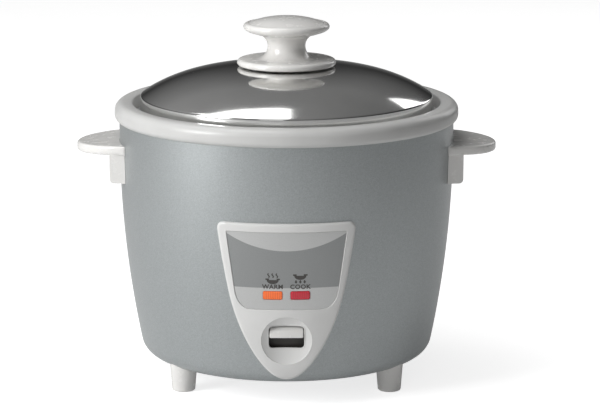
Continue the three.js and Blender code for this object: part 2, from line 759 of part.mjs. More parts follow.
function lidShell() {
  const { skirt, domeEdge, wall, curl } = lid;
  const stops = [1, 0.955, 0.88, 0.76, 0.6, 0.4];
  const hole = knobScrew.shank + gap;
  const outside = stops.map((t) => p2(t * domeEdge, domeHeight(t * domeEdge)));
  const inside = stops.map((t) => p2(t * (domeEdge - wall), domeHeight(t * domeEdge) - wall)).reverse();
  return turned(
    [
      p2(skirt - wall - curl, lidFootZ),
      p2(skirt, lidFootZ),
      p2(skirt, lidEdgeZ - 1),
      ...outside,
      p2(hole, domeHeight(0)),
      p2(hole, domeHeight(0) - wall),
      ...inside,
      p2(skirt - wall, lidEdgeZ - 1.4),
      p2(skirt - wall, lidFootZ + wall),
      p2(skirt - wall - curl, lidFootZ + wall),
    ],
    round,
  );
}

const knobScrew = { head: 4.2, headHeight: 2.2, shank: 2, length: 18 };

function lidKnob() {
  const { flange, flangeThick, waist, waistRadius, disc, cap, capDepth } = knob;
  const flangeZ = domeHeight(0) + knob.flangeRise;
  const discZ = domeHeight(0) + knob.discRise;
  const flangeTop = flangeZ + flangeThick;
  const waistX = waist + waistRadius;
  const rimTop = discZ + 1.9;
  const bore = knobScrew.shank + gap;
  const seat = domeHeight(0) + gap;
  return turned(
    [
      p2(bore, seat),
      p2(9, seat),
      p2(9, seat + 1),
      p2(22, seat + 1),
      p2(flange - 2.2, flangeZ),
      p2(flange - 0.8, flangeZ),
      p2(flange, flangeZ + 1),
      p2(flange - 0.3, flangeZ + 2.6),
      p2(flange - 1.6, flangeTop),
      ...arc(waistX, flangeTop + waistRadius, waistRadius, 270, 90, 7),
      p2(disc - 2.2, discZ - 2.6),
      p2(disc - 0.4, discZ - 1.2),
      p2(disc, discZ),
      p2(disc - 0.5, discZ + 1.2),
      p2(disc - 1.6, rimTop),
      p2(cap + gap, rimTop + 0.5),
      p2(cap + gap, rimTop + 0.5 - capDepth),
      p2(bore, rimTop + 0.5 - capDepth),
    ],
    roundMid,
  );
}

function knobCap() {
  const low = domeHeight(0) + knob.discRise + 1.9 + 0.5 - knob.capDepth + gap;
  const edge = low + knob.capDepth;
  const topZ = domeHeight(0) + knob.topRise;
  const rise = topZ - edge;
  const crown = [1, 0.8, 0.55, 0.28].map((t) => p2(t * knob.cap, edge + rise * (1 - t * t)));
  return turned([p2(0, low), p2(knob.cap, low), ...crown, p2(0, topZ)], roundMid);
}

const knobWasher = { radius: 8, thick: 0.8 };

function washer(z) {
  const { radius, thick } = knobWasher;
  const hole = knobScrew.shank + gap;
  return turned([p2(hole, z), p2(radius, z), p2(radius, z + thick), p2(hole, z + thick)], roundSmall);
}

// ---------------------------------------------------------------- assembly

part("outer_shell", outerShell(), silverPaint);
part("top_ring", topRing(), ringPlastic);
part("inner_well", innerWell(), zincSteel);
part("base_plate", basePlate(), zincSteel);

const footGeometry = footShape();
const footScrewGeometry = screw(footScrew.head, footScrew.headHeight, footScrew.shank, footScrew.length);
const lump = caseLump(gap);
for (const { where, x, y } of footSpots) {
  part(`foot_${where}`, cut(footGeometry.clone().translate(x, y, 0), lump), whitePlastic);
  part(`foot_screw_${where}`, footScrewGeometry, zincSteel).position.set(x, y, foot.boreZ - gap);
}

const handleGeometry = handleShape();
part("handle_right", handleGeometry, whitePlastic);
part("handle_left", handleGeometry, whitePlastic).rotation.z = Math.PI;
const handleScrewGeometry = screw(handleScrew.head, handleScrew.headHeight, handleScrew.shank, handleScrew.length);
for (const { side, end, y } of handleScrews) {
  const name = `handle_screw_${side < 0 ? "left" : "right"}_${end < 0 ? "front" : "rear"}`;
  const made = part(name, handleScrewGeometry, zincSteel);
  const wallAt = (caseRadiusAt(handle.screwZ) - case_.wall) * facetFlat;
  const inside = Math.sqrt(wallAt ** 2 - (Math.abs(y) + handleScrew.head) ** 2);
  made.position.set(side * (inside - gap), y, handle.screwZ);
  made.rotation.y = (side * Math.PI) / 2;
}

part("control_panel", controlPanel(), whitePlastic);
part("panel_label", panelLabel(), labelFilm);
part("warm_lens", lensBody(-lens.x), orangeLens);
part("cook_lens", lensBody(lens.x), redLens);
part("lamp_holder", lampHolder(), darkMoulding);
const bulbGeometry = turned(
  [p2(0, -bulb.length / 2), p2(bulb.radius * 0.7, -bulb.length / 2), p2(bulb.radius, -bulb.length / 2 + 0.8),
    p2(bulb.radius, bulb.length / 2 - 0.8), p2(bulb.radius * 0.7, bulb.length / 2), p2(0, bulb.length / 2)],
  roundScrew,
).rotateY(Math.PI / 2);
part("warm_bulb", bulbGeometry, neonGlass).position.set(-lens.x, bulb.y, lens.z);
part("cook_bulb", bulbGeometry, neonGlass).position.set(lens.x, bulb.y, lens.z);

part("heating_plate", heatingPlate(), castAluminium);
part("heater_element", heaterElement(), zincSteel);
const plateScrewGeometry = screw(plateScrew.head, plateScrew.headHeight, plateScrew.shank, plateScrew.length);
plateFeet.forEach((at, i) => {
  part(`plate_screw_${i + 1}`, plateScrewGeometry, zincSteel).position.set(at.x, at.y, well.bottomZ - gap);
});

part("thermostat_cup", thermostatCup(), zincSteel);
part("sensor_cap", sensorCap(), potAluminium);
part("ferrite_disc", rod(sensor.ferrite, sensor.ferriteZ, plate.topZ - 1.2 - gap, roundMid), ferriteBlack);
const springWire = 0.6;
const springFoot = sensor.cupZ + 1.2 + gap + springWire;
part("sensor_spring", coil(12, springWire, springFoot, sensor.ferriteZ - gap - springWire, 4), zincSteel);
part("magnet", magnetWithRod(), ferriteBlack);

part("lever_arm", leverArm(), zincSteel);
part("lever_knob", leverKnob(), whitePlastic);
part("lever_bracket", leverBracket(), zincSteel);
const pin = part("pivot_pin", rod(lever.pin, -12, 12, roundSmall), zincSteel);
pin.rotation.y = Math.PI / 2;
pin.position.set(0, lever.pivotY, lever.pivotZ);
const returnSpring = part("return_spring", coil(2.6, 0.4, 0, 2.4, 2), zincSteel);
returnSpring.rotation.y = Math.PI / 2;
returnSpring.position.set(lever.armHalf + 0.9, lever.pivotY, lever.pivotZ);

part("contact_block", contactBlock(), darkMoulding);
part("moving_contact", contactLeaf(contact.leafZ, 1, contact.tipY), brass);
part("fixed_contact", contactLeaf(contact.fixedZ, -1, contact.tipY), brass);

part("inlet_housing", inletHousing(), darkMoulding);
const inletScrewGeometry = screw(inletScrew.head, inletScrew.headHeight, inletScrew.shank, inletScrew.length);
["left", "right"].forEach((where, i) => {
  part(`inlet_pin_${where}`, inletPin(), brass).position.set((2 * i - 1) * inlet.pinX, 0, inlet.z);
  const made = part(`inlet_screw_${where}`, inletScrewGeometry, zincSteel);
  made.position.set(inletScrewX[i], inlet.faceY + gap, inlet.z);
  made.rotation.x = Math.PI / 2;
});

part("inner_pot", innerPot(), potAluminium);
part("lid_shell", lidShell(), mirrorSteel);
part("lid_knob", lidKnob(), whitePlastic);
part("knob_cap", knobCap(), whitePlastic);
const underLid = domeHeight(0) - lid.wall - gap;
part("knob_washer", washer(underLid - knobWasher.thick), zincSteel);
part("knob_screw", screw(knobScrew.head, knobScrew.headHeight, knobScrew.shank, knobScrew.length), zincSteel)
  .position.z = underLid - knobWasher.thick - gap;

export default cooker;
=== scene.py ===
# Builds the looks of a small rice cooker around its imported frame, with one operator for each piece or group.

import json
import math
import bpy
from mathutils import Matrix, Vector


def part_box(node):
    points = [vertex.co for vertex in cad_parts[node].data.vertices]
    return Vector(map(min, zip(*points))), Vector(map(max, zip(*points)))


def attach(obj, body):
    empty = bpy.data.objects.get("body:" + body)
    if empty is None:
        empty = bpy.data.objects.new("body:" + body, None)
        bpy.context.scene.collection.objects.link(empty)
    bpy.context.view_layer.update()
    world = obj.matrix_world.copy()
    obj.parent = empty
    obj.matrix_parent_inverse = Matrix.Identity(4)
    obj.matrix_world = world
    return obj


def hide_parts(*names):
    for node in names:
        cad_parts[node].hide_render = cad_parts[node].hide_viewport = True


bl_info = {
    "name": "Rice Cooker Builder",
    "version": (1, 0, 0),
    "blender": (4, 5, 0),
    "location": "View3D > Sidebar > Rice Cooker",
    "description": "Models and finishes the pieces of a small rice cooker on its frame",
    "category": "Object",
}

import bmesh
import bpy
from bpy.props import FloatProperty, FloatVectorProperty, IntProperty, PointerProperty
from mathutils import Matrix, Vector
from mathutils.geometry import interpolate_bezier

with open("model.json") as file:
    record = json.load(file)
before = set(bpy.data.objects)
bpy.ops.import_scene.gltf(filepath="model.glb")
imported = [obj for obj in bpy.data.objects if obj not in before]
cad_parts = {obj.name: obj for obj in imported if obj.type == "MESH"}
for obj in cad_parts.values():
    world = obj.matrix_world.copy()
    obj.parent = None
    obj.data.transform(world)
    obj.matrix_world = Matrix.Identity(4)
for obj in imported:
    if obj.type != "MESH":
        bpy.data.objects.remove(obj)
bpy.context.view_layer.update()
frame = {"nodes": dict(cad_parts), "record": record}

MM = 0.001
FULL_TURN = 2 * math.pi
SHARP_ANGLE = math.radians(38)
MERGE_DISTANCE = 0.002 * MM
FIT = 0.15 * MM
INK_HEIGHT = 2.26 * MM
CORNERS = ("front_left", "front_right", "rear_left", "rear_right")
BOXES = {name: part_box(name) for name in frame["nodes"]}


def low(node):
    """The lowest corner of a frame node."""
    return BOXES[node][0]


def high(node):
    """The highest corner of a frame node."""
    return BOXES[node][1]


def middle(node):
    """The centre of a frame node's box."""
    return (low(node) + high(node)) / 2


# ---------------------------------------------------------------- settings


def length_property(name, description, default):
    """A length in metres for the panel."""
    return FloatProperty(name=name, description=description, default=default, unit="LENGTH")


def color_property(name, description, default):
    """A colour for the panel."""
    return FloatVectorProperty(name=name, description=description, default=default, subtype="COLOR", size=3)


class CookerSizes(bpy.types.PropertyGroup):
    """Sizes that shape the pieces between the heights and radii that the frame gives."""

    turn_steps: IntProperty(
        name="Turn steps", description="Facets round a large turned piece", default=160, min=24
    )
    small_steps: IntProperty(
        name="Small steps", description="Facets round a small turned piece", default=64, min=12
    )
    bulge_radius: length_property("Bulge radius", "Radius of the barrel curve of the case", 625 * MM)
    bulge_height: length_property("Bulge height", "Height at which the case is widest", 146 * MM)
    case_fillet: length_property("Case fillet", "Rounding of the case's bottom edge", 10 * MM)
    case_wall: length_property("Case wall", "Thickness of the case's sheet metal", 0.8 * MM)
    panel_proud: length_property("Panel height", "How far the panel stands off the case", 2.6 * MM)
    dish_radius: length_property("Dish radius", "Radius of the switch's dish", 14.9 * MM)
    dome_fullness: FloatProperty(
        name="Dome fullness", description="Power of the lid's curve, flat in the middle", default=3.3, min=2.0
    )


class CookerFinish(bpy.types.PropertyGroup):
    """Colours of the finishes."""

    case_paint: color_property("Case paint", "Metallic paint of the case", (0.40, 0.425, 0.43))
    ring_plastic: color_property("Ring plastic", "Plastic of the rim ring", (0.60, 0.60, 0.59))
    white_plastic: color_property("White plastic", "Plastic of handles, feet and knob", (0.80, 0.79, 0.77))
    panel_plastic: color_property("Panel plastic", "Plastic of the front panel", (0.72, 0.72, 0.71))
    lid_steel: color_property("Lid steel", "Polished steel of the lid", (0.80, 0.80, 0.79))
    warm_lens: color_property("Warm lens", "Lens of the keep-warm lamp", (0.90, 0.16, 0.03))
    cook_lens: color_property("Cook lens", "Lens of the cooking lamp", (0.52, 0.012, 0.03))


def sizes():
    return bpy.context.scene.cooker_sizes


def finish_colors():
    return bpy.context.scene.cooker_finish


# ---------------------------------------------------------------- node building


class Nodes:
    """A node tree, built a node at a time."""

    def __init__(self, tree):
        self.tree = tree

    def add(self, kind, **settings):
        node = self.tree.nodes.new(kind)
        for key, value in settings.items():
            setattr(node, key, value)
        return node

    def link(self, source, target):
        self.tree.links.new(source, target)

    def feed(self, sockets, values):
        """Gives each socket its value, or links it where the value is another node's output."""
        for socket, value in zip(sockets, values):
            if isinstance(value, bpy.types.NodeSocket):
                self.link(value, socket)
            else:
                socket.default_value = value

    def parts(self, place):
        """The X, Y and Z of a point."""
        node = self.add("ShaderNodeSeparateXYZ")
        self.link(place, node.inputs[0])
        return node.outputs

    def spread(self, value, lowest, highest, start=0.3, end=0.7):
        """Maps a value between a start and an end onto another range."""
        node = self.add("ShaderNodeMapRange")
        sockets = [node.inputs[name] for name in ("From Min", "From Max", "To Min", "To Max", "Value")]
        self.feed(sockets, (start, end, lowest, highest, value))
        return node.outputs["Result"]

    def mix(self, factor, first, second, blend="MIX"):
        """Mixes two colours, each a tuple or another node's output."""
        node = self.add("ShaderNodeMix", data_type="RGBA", blend_type=blend)
        self.feed((node.inputs[0], node.inputs[6], node.inputs[7]), (factor, first, second))
        return node.outputs[2]

    def math(self, operation, *values):
        node = self.add("ShaderNodeMath", operation=operation)
        self.feed(node.inputs, values)
        return node.outputs[0]

    def distance(self, first, second):
        """The length of the hypotenuse over two values."""
        squares = self.math("ADD", self.math("POWER", first, 2.0), self.math("POWER", second, 2.0))
        return self.math("SQRT", squares)


class Recipe(Nodes):
    """A material, whose patterns are laid out in object space."""

    def __init__(self, name):
        self.material = bpy.data.materials.new(name)
        self.material.use_nodes = True
        super().__init__(self.material.node_tree)
        self.shader = self.tree.nodes["Principled BSDF"]
        self.place = self.add("ShaderNodeTexCoord").outputs["Object"]

    def set(self, **values):
        """Sets sockets of the shader that are the same all over the surface."""
        for key, value in values.items():
            socket = key.replace("_", " ").title().replace("Ior", "IOR")
            self.shader.inputs[socket].default_value = value

    def noise(self, scale, detail):
        """A noise texture with features of about 1 / scale metres."""
        node = self.add("ShaderNodeTexNoise")
        sockets = [node.inputs[name] for name in ("Scale", "Detail", "Vector")]
        self.feed(sockets, (scale, detail, self.place))
        return node.outputs["Fac"]

    def lines(self, along, scale, detail):
        """Noise that changes along one value only."""
        node = self.add("ShaderNodeTexNoise", noise_dimensions="1D")
        sockets = [node.inputs[name] for name in ("Scale", "Detail", "W")]
        self.feed(sockets, (scale, detail, along))
        return node.outputs["Fac"]

    def cells(self, scale):
        """Random grains of about 1 / scale metres, as three separate random values."""
        node = self.add("ShaderNodeTexVoronoi")
        self.feed((node.inputs["Scale"], node.inputs["Vector"]), (scale, self.place))
        split = self.add("ShaderNodeSeparateColor")
        self.link(node.outputs["Color"], split.inputs[0])
        return split.outputs

    def bump(self, height, distance, strength, after=None):
        """Feeds a bump of the given depth in metres to the shader, on top of another normal."""
        node = self.add("ShaderNodeBump")
        sockets = [node.inputs[name] for name in ("Strength", "Distance", "Height")]
        self.feed(sockets, (strength, distance, height))
        if after:
            self.link(after, node.inputs["Normal"])
        self.link(node.outputs["Normal"], self.shader.inputs["Normal"])
        return node.outputs["Normal"]

    def color(self, value):
        self.link(value, self.shader.inputs["Base Color"])

    def two_tone(self, value, first, second):
        """Colours the surface from one colour to another as a value rises."""
        self.color(self.mix(self.spread(value, 0, 1), first, second))

    def roughness(self, value, lowest, highest, start=0.3, end=0.7):
        """Spreads a value over a range of roughness."""
        self.link(self.spread(value, lowest, highest, start, end), self.shader.inputs["Roughness"])


def tone(rgb, factor=1.0):
    """A colour with alpha, lightened or darkened."""
    return (*(min(1.0, c * factor) for c in rgb), 1.0)


def moulded_plastic(name, rgb, rough, coat=0.0, depth=0.02):
    """Injection-moulded plastic: faint flow mottle, handling haze and a slight unevenness of the surface."""
    recipe = Recipe(name)
    mottle = recipe.noise(60, detail=3)
    recipe.two_tone(mottle, tone(rgb, 0.975), tone(rgb, 1.02))
    haze = recipe.noise(180, detail=4)
    recipe.roughness(haze, rough - 0.05, rough + 0.06)
    skin = recipe.noise(900, detail=1)
    recipe.bump(skin, depth * MM, strength=0.2)
    recipe.set(ior=1.5, coat_weight=coat, coat_roughness=0.08, subsurface_weight=0.04)
    recipe.shader.inputs["Subsurface Radius"].default_value = (0.003, 0.0028, 0.0025)
    return recipe.material


def metallic_paint():
    """Silver baking enamel: fine flakes that sparkle under a thin satin coat."""
    recipe = Recipe("silver_paint")
    rgb = finish_colors().case_paint
    flakes = recipe.cells(2600)
    grain = recipe.noise(1500, detail=2)
    speckle = recipe.mix(recipe.spread(flakes[0], 0, 1, 0, 1), tone(rgb, 0.86), tone(rgb, 1.14))
    recipe.color(recipe.mix(recipe.spread(grain, 0, 0.5), speckle, tone(rgb, 1.05)))
    recipe.roughness(grain, 0.38, 0.46)
    orange_peel = recipe.bump(recipe.noise(420, detail=1), 0.02 * MM, strength=0.5)
    recipe.bump(flakes[1], 0.02 * MM, strength=0.3, after=orange_peel)
    recipe.set(metallic=0.72, coat_weight=0.25, coat_roughness=0.22)
    return recipe.material


def polished_steel():
    """Buffed stainless steel: a mirror with the faint circular lines of the buffing wheel."""
    recipe = Recipe("lid_steel")
    rgb = finish_colors().lid_steel
    x, y, _ = recipe.parts(recipe.place)
    lines = recipe.lines(recipe.distance(x, y), 2400, 2)
    cloud = recipe.noise(45, detail=3)
    recipe.two_tone(cloud, tone(rgb, 0.97), tone(rgb, 1.02))
    recipe.roughness(cloud, 0.07, 0.12)
    recipe.bump(lines, 0.004 * MM, strength=0.25)
    recipe.set(metallic=1.0)
    return recipe.material


def spun_aluminium(name, rgb, rough, line_depth=0.02):
    """Aluminium turned on a lathe, with fine rings round the axis."""
    recipe = Recipe(name)
    x, y, z = recipe.parts(recipe.place)
    lines = recipe.lines(recipe.math("ADD", recipe.distance(x, y), z), 2800, 3)
    cloud = recipe.noise(70, detail=4)
    recipe.two_tone(cloud, tone(rgb, 0.94), tone(rgb, 1.04))
    recipe.roughness(lines, rough - 0.06, rough + 0.08)
    recipe.bump(lines, line_depth * MM, strength=0.4)
    recipe.set(metallic=1.0)
    return recipe.material


def plated_steel():
    """Zinc-plated sheet: a cool grey with a faint crystalline spangle."""
    recipe = Recipe("zinc_steel")
    rgb = (0.52, 0.53, 0.55)
    spangle = recipe.cells(260)
    recipe.color(recipe.mix(recipe.spread(spangle[0], 0, 1, 0, 1), tone(rgb, 0.9), tone(rgb, 1.08)))
    recipe.roughness(spangle[1], 0.3, 0.44, 0, 1)
    recipe.bump(recipe.noise(700, detail=3), 0.02 * MM, strength=0.3)
    recipe.set(metallic=1.0)
    return recipe.material


def bright_brass():
    """Stamped brass with a slightly tarnished sheen."""
    recipe = Recipe("brass")
    cloud = recipe.noise(300, detail=4)
    recipe.two_tone(cloud, (0.56, 0.38, 0.15, 1), (0.74, 0.55, 0.26, 1))
    recipe.roughness(cloud, 0.22, 0.38)
    recipe.bump(recipe.noise(1600, detail=2), 0.01 * MM, strength=0.3)
    recipe.set(metallic=1.0)
    return recipe.material


def lamp_lens(name, rgb):
    """A clear coloured lens, lit a little by the lamp behind it, with fine ribs inside."""
    recipe = Recipe(name)
    ribs = recipe.add("ShaderNodeTexWave", bands_direction="X")
    ribs.inputs["Scale"].default_value = 240
    recipe.link(recipe.place, ribs.inputs["Vector"])
    cloud = recipe.noise(400, detail=2)
    deep = recipe.mix(recipe.spread(ribs.outputs["Fac"], 0, 1, 0, 1), tone(rgb, 0.86), tone(rgb, 1.1))
    recipe.color(deep)
    recipe.roughness(cloud, 0.12, 0.2)
    recipe.bump(cloud, 0.01 * MM, strength=0.2)
    recipe.set(coat_weight=0.6, coat_roughness=0.05, emission_strength=0.12)
    recipe.shader.inputs["Emission Color"].default_value = tone(rgb)
    return recipe.material


def neon_glass():
    """Thin clear glass of a neon lamp."""
    recipe = Recipe("neon_glass")
    cloud = recipe.noise(500, detail=2)
    recipe.two_tone(cloud, (0.80, 0.68, 0.56, 1), (0.92, 0.84, 0.74, 1))
    recipe.roughness(cloud, 0.04, 0.1)
    recipe.bump(cloud, 0.01 * MM, strength=0.1)
    recipe.set(transmission_weight=0.7, ior=1.45)
    return recipe.material


def dull_ferrite():
    """Sintered magnet material: black, dry and slightly grainy."""
    recipe = Recipe("ferrite")
    grain = recipe.noise(1200, detail=4)
    recipe.two_tone(grain, (0.025, 0.025, 0.028, 1), (0.06, 0.06, 0.062, 1))
    recipe.roughness(grain, 0.6, 0.78)
    recipe.bump(grain, 0.05 * MM, strength=0.4)
    recipe.set(metallic=0.2)
    return recipe.material


def label_film():
    """Printed foil: a bright band along the foot, a bright crescent at the top and grey between them."""
    recipe = Recipe("label_film")
    box_low, box_high = BOXES["panel_label"]
    band_top = box_low.z + 13.4 * MM
    crescent_radius = 66 * MM
    crescent_centre = box_high.z - 11 * MM + crescent_radius
    across, _, up = recipe.parts(recipe.place)
    reach = recipe.distance(across, recipe.math("SUBTRACT", up, crescent_centre))
    crescent = recipe.math("LESS_THAN", reach, crescent_radius)
    band = recipe.math("LESS_THAN", up, band_top)
    bright = recipe.math("MAXIMUM", crescent, band)
    grain = recipe.noise(2600, detail=1)
    grey = recipe.mix(recipe.spread(grain, 0, 1), (0.30, 0.31, 0.31, 1), (0.32, 0.33, 0.33, 1))
    silver = recipe.mix(recipe.spread(grain, 0, 1), (0.56, 0.565, 0.56, 1), (0.60, 0.605, 0.60, 1))
    recipe.color(recipe.mix(bright, grey, silver))
    recipe.roughness(grain, 0.3, 0.34)
    recipe.bump(recipe.noise(1500, detail=1), 0.005 * MM, strength=0.2)
    recipe.set(metallic=0.55, coat_weight=0.3, coat_roughness=0.1)
    return recipe.material


def caption_ink():
    """Dark printing ink, a little uneven."""
    recipe = Recipe("caption_ink")
    grain = recipe.noise(3000, detail=2)
    recipe.two_tone(grain, (0.045, 0.042, 0.04, 1), (0.075, 0.07, 0.065, 1))
    recipe.roughness(grain, 0.4, 0.55)
    return recipe.material


MAKERS = {
    "silver_paint": metallic_paint,
    "ring_plastic": lambda: moulded_plastic("ring_plastic", finish_colors().ring_plastic, 0.34, coat=0.1),
    "white_plastic": lambda: moulded_plastic("white_plastic", finish_colors().white_plastic, 0.24, coat=0.35),
    "panel_plastic": lambda: moulded_plastic("panel_plastic", finish_colors().panel_plastic, 0.36, coat=0.15),
    "dark_moulding": lambda: moulded_plastic("dark_moulding", (0.045, 0.042, 0.038), 0.5, depth=0.05),
    "lid_steel": polished_steel,
    "pot_aluminium": lambda: spun_aluminium("pot_aluminium", (0.66, 0.66, 0.67), 0.3),
    "cast_aluminium": lambda: spun_aluminium("cast_aluminium", (0.52, 0.52, 0.53), 0.42, line_depth=0.05),
    "zinc_steel": plated_steel,
    "brass": bright_brass,
    "orange_lens": lambda: lamp_lens("orange_lens", finish_colors().warm_lens),
    "red_lens": lambda: lamp_lens("red_lens", finish_colors().cook_lens),
    "neon_glass": neon_glass,
    "label_film": label_film,
    "ferrite": dull_ferrite,
    "caption_ink": caption_ink,
}


def material(name):
    """The named finish, made the first time that it is asked for."""
    found = bpy.data.materials.get("finish_" + name)
    if found:
        return found
    made = MAKERS[name]()
    made.name = "finish_" + name
    return made


# ---------------------------------------------------------------- mesh building


def corner_arc(centre_r, centre_z, radius, start, end, steps):
    """Stations on a circle, from one angle to another in degrees."""
    angles = [math.radians(start + (end - start) * i / steps) for i in range(steps + 1)]
    return [(centre_r + radius * math.cos(a), centre_z + radius * math.sin(a), 0) for a in angles]


def draw_profile(bm, stations, closed, round_steps=6):
    """Draws a wire in the XZ plane from (radius, height, rounding) stations and rounds its corners."""
    verts = [bm.verts.new((r, 0, z)) for r, z, _ in stations]
    ends = list(zip(verts, verts[1:]))
    if closed:
        ends.append((verts[-1], verts[0]))
    for pair in ends:
        bm.edges.new(pair)
    for vert, (_, _, rounding) in zip(verts, stations):
        if rounding:
            bmesh.ops.bevel(
                bm, geom=[vert], offset=rounding, offset_type="OFFSET", segments=round_steps,
                profile=0.5, affect="VERTICES", material=-1,
            )


def spin_round(bm, steps):
    """Turns all that is drawn about the Z axis into a closed surface."""
    bmesh.ops.spin(
        bm, geom=bm.verts[:] + bm.edges[:], cent=(0, 0, 0), axis=(0, 0, 1), angle=FULL_TURN, steps=steps,
        use_merge=True, use_duplicate=False,
    )
    bmesh.ops.remove_doubles(bm, verts=bm.verts[:], dist=MERGE_DISTANCE)
    bmesh.ops.recalc_face_normals(bm, faces=bm.faces[:])


def turned(stations, steps=None, closed=True, round_steps=6):
    """A bmesh turned from a profile, which is a closed outline or runs from the axis to the axis."""
    bm = bmesh.new()
    draw_profile(bm, stations, closed, round_steps)
    spin_round(bm, steps or sizes().turn_steps)
    return bm


def add_object(name, bm):
    """Makes an object of a bmesh, which is used up."""
    mesh = bpy.data.meshes.new(name)
    bm.to_mesh(mesh)
    bm.free()
    made = bpy.data.objects.new(name, mesh)
    bpy.context.scene.collection.objects.link(made)
    return made


def smooth_shading(bm):
    """Shades smooth, with sharp edges where faces meet at more than a given angle."""
    for face in bm.faces:
        face.smooth = True
    for edge in bm.edges:
        edge.smooth = not (edge.is_manifold and edge.calc_face_angle(0) > SHARP_ANGLE)


def piece(name, bm, body, finish, slot, *replaced):
    """Makes a finished object of a bmesh: shaded, coloured, riding on a body and standing for frame nodes."""
    smooth_shading(bm)
    made = add_object(name, bm)
    made.data.materials.append(material(finish))
    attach(made, body)
    if replaced:
        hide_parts(*replaced)


def with_parts(faces):
    """Faces with their edges and corners."""
    return [*faces, *{e for f in faces for e in f.edges}, *{v for f in faces for v in f.verts}]


def extruded(bm, face, offset, keep=True):
    """Extrudes a face by an offset and returns the faces at the new end."""
    made = bmesh.ops.extrude_face_region(bm, geom=[face], use_keep_orig=keep)["geom"]
    bmesh.ops.translate(bm, verts=[v for v in made if isinstance(v, bmesh.types.BMVert)], vec=offset)
    return [f for f in made if isinstance(f, bmesh.types.BMFace)]


def bevel_edges(bm, edges, radius, segments):
    """Rounds edges to a radius."""
    bmesh.ops.bevel(
        bm, geom=edges, offset=radius, offset_type="OFFSET", segments=segments, profile=0.5, affect="EDGES",
        material=-1,
    )


def thicken(bm, thickness):
    """Turns a surface into a sheet, behind its outer side."""
    bmesh.ops.recalc_face_normals(bm, faces=bm.faces[:])
    bmesh.ops.solidify(bm, geom=bm.faces[:], thickness=thickness)


def cut_convex(bm, outline, faces):
    """Cuts a convex outline of (x, z) points into faces, along Y, and returns the faces inside it."""
    for face in faces:
        face.material_index = 1
    count = len(outline)
    centre = Vector((sum(p[0] for p in outline) / count, 0, sum(p[1] for p in outline) / count))
    for i, start in enumerate(outline):
        end = outline[(i + 1) % count]
        a = Vector((start[0], 0, start[1]))
        along = Vector((end[0], 0, end[1])) - a
        if along.length < MERGE_DISTANCE:
            continue
        outward = Vector((along.z, 0, -along.x)).normalized()
        if outward.dot(centre - a) > 0:
            outward.negate()
        marked = [f for f in bm.faces if f.material_index]
        bmesh.ops.bisect_plane(bm, geom=with_parts(marked), dist=MERGE_DISTANCE, plane_co=a, plane_no=outward)
        for face in bm.faces:
            if face.material_index and outward.dot(face.calc_center_median() - a) > 0:
                face.material_index = 0
    inside = [f for f in bm.faces if f.material_index]
    for face in inside:
        face.material_index = 0
    return inside


def circle_outline(x, z, radius, count):
    """A circle, as (x, z) points."""
    angles = [FULL_TURN * i / count for i in range(count)]
    return [(x + radius * math.cos(a), z + radius * math.sin(a)) for a in angles]


def rounded_outline(x, z, half_width, half_height, corner):
    """A rectangle with rounded corners, as (x, z) points."""
    points = []
    for sx, sz, start in ((1, 1, 0), (-1, 1, 90), (-1, -1, 180), (1, -1, 270)):
        cx = x + sx * (half_width - corner)
        cz = z + sz * (half_height - corner)
        points += [(px, pz) for px, pz, _ in corner_arc(cx, cz, corner, start, start + 90, 5)]
    return points


def ray_to_outline(vert, centre_z, outline):
    """Where a line from a centre on the Z axis towards a point crosses a closed (x, z) outline."""
    dx, dz = vert.x, vert.z - centre_z
    for (ax, az), (bx, bz) in zip(outline, outline[1:] + outline[:1]):
        ex, ez = bx - ax, bz - az
        across = dx * ez - dz * ex
        if abs(across) < 1e-12:
            continue
        along = (ax * ez - (az - centre_z) * ex) / across
        share = (ax * dz - (az - centre_z) * dx) / across
        if along > 0 and -1e-9 <= share <= 1 + 1e-9:
            return dx * along, centre_z + dz * along
    raise RuntimeError("The outline doesn't go round its centre")


# ---------------------------------------------------------------- the case's curve


def barrel_centre():
    """Radius and height of the centre of the case's barrel curve."""
    return high("outer_shell").x - sizes().bulge_radius, sizes().bulge_height


def fillet_centre():
    """Radius and height of the centre of the case's bottom fillet."""
    cr, cz = barrel_centre()
    fillet = sizes().case_fillet
    z = low("outer_shell").z + fillet
    return cr + math.sqrt((sizes().bulge_radius - fillet) ** 2 - (cz - z) ** 2), z


def case_radius(z, offset=0.0):
    """The case's outer radius at a height, moved out by an offset."""
    cr, cz = barrel_centre()
    fr, fz = fillet_centre()
    if z >= cz:
        return high("outer_shell").x + offset
    radius = cr + math.sqrt(max(0.0, (sizes().bulge_radius + offset) ** 2 - (cz - z) ** 2))
    tangent = math.atan2(fz - cz, fr - cr)
    fillet = sizes().case_fillet + offset
    if z < fz + fillet * math.sin(tangent):
        return fr + math.sqrt(max(0.0, fillet**2 - (fz - z) ** 2))
    return radius


def case_curve():
    """Stations up the outside of the case, from its flat bottom to its top."""
    cr, cz = barrel_centre()
    fr, fz = fillet_centre()
    tangent = math.degrees(math.atan2(fz - cz, fr - cr))
    bottom = corner_arc(fr, fz, sizes().case_fillet, -90, tangent, 10)
    side = corner_arc(cr, cz, sizes().bulge_radius, tangent, 0, 36)[1:]
    return [*bottom, *side, (high("outer_shell").x, high("outer_shell").z, 0)]


def wrap_on_case(bm):
    """Bends what is drawn flat in X and Z round the front of the case, keeping its height over it."""
    for vert in bm.verts:
        x, y, z = vert.co
        vert.co.y = -math.sqrt((case_radius(z) - y) ** 2 - x**2)


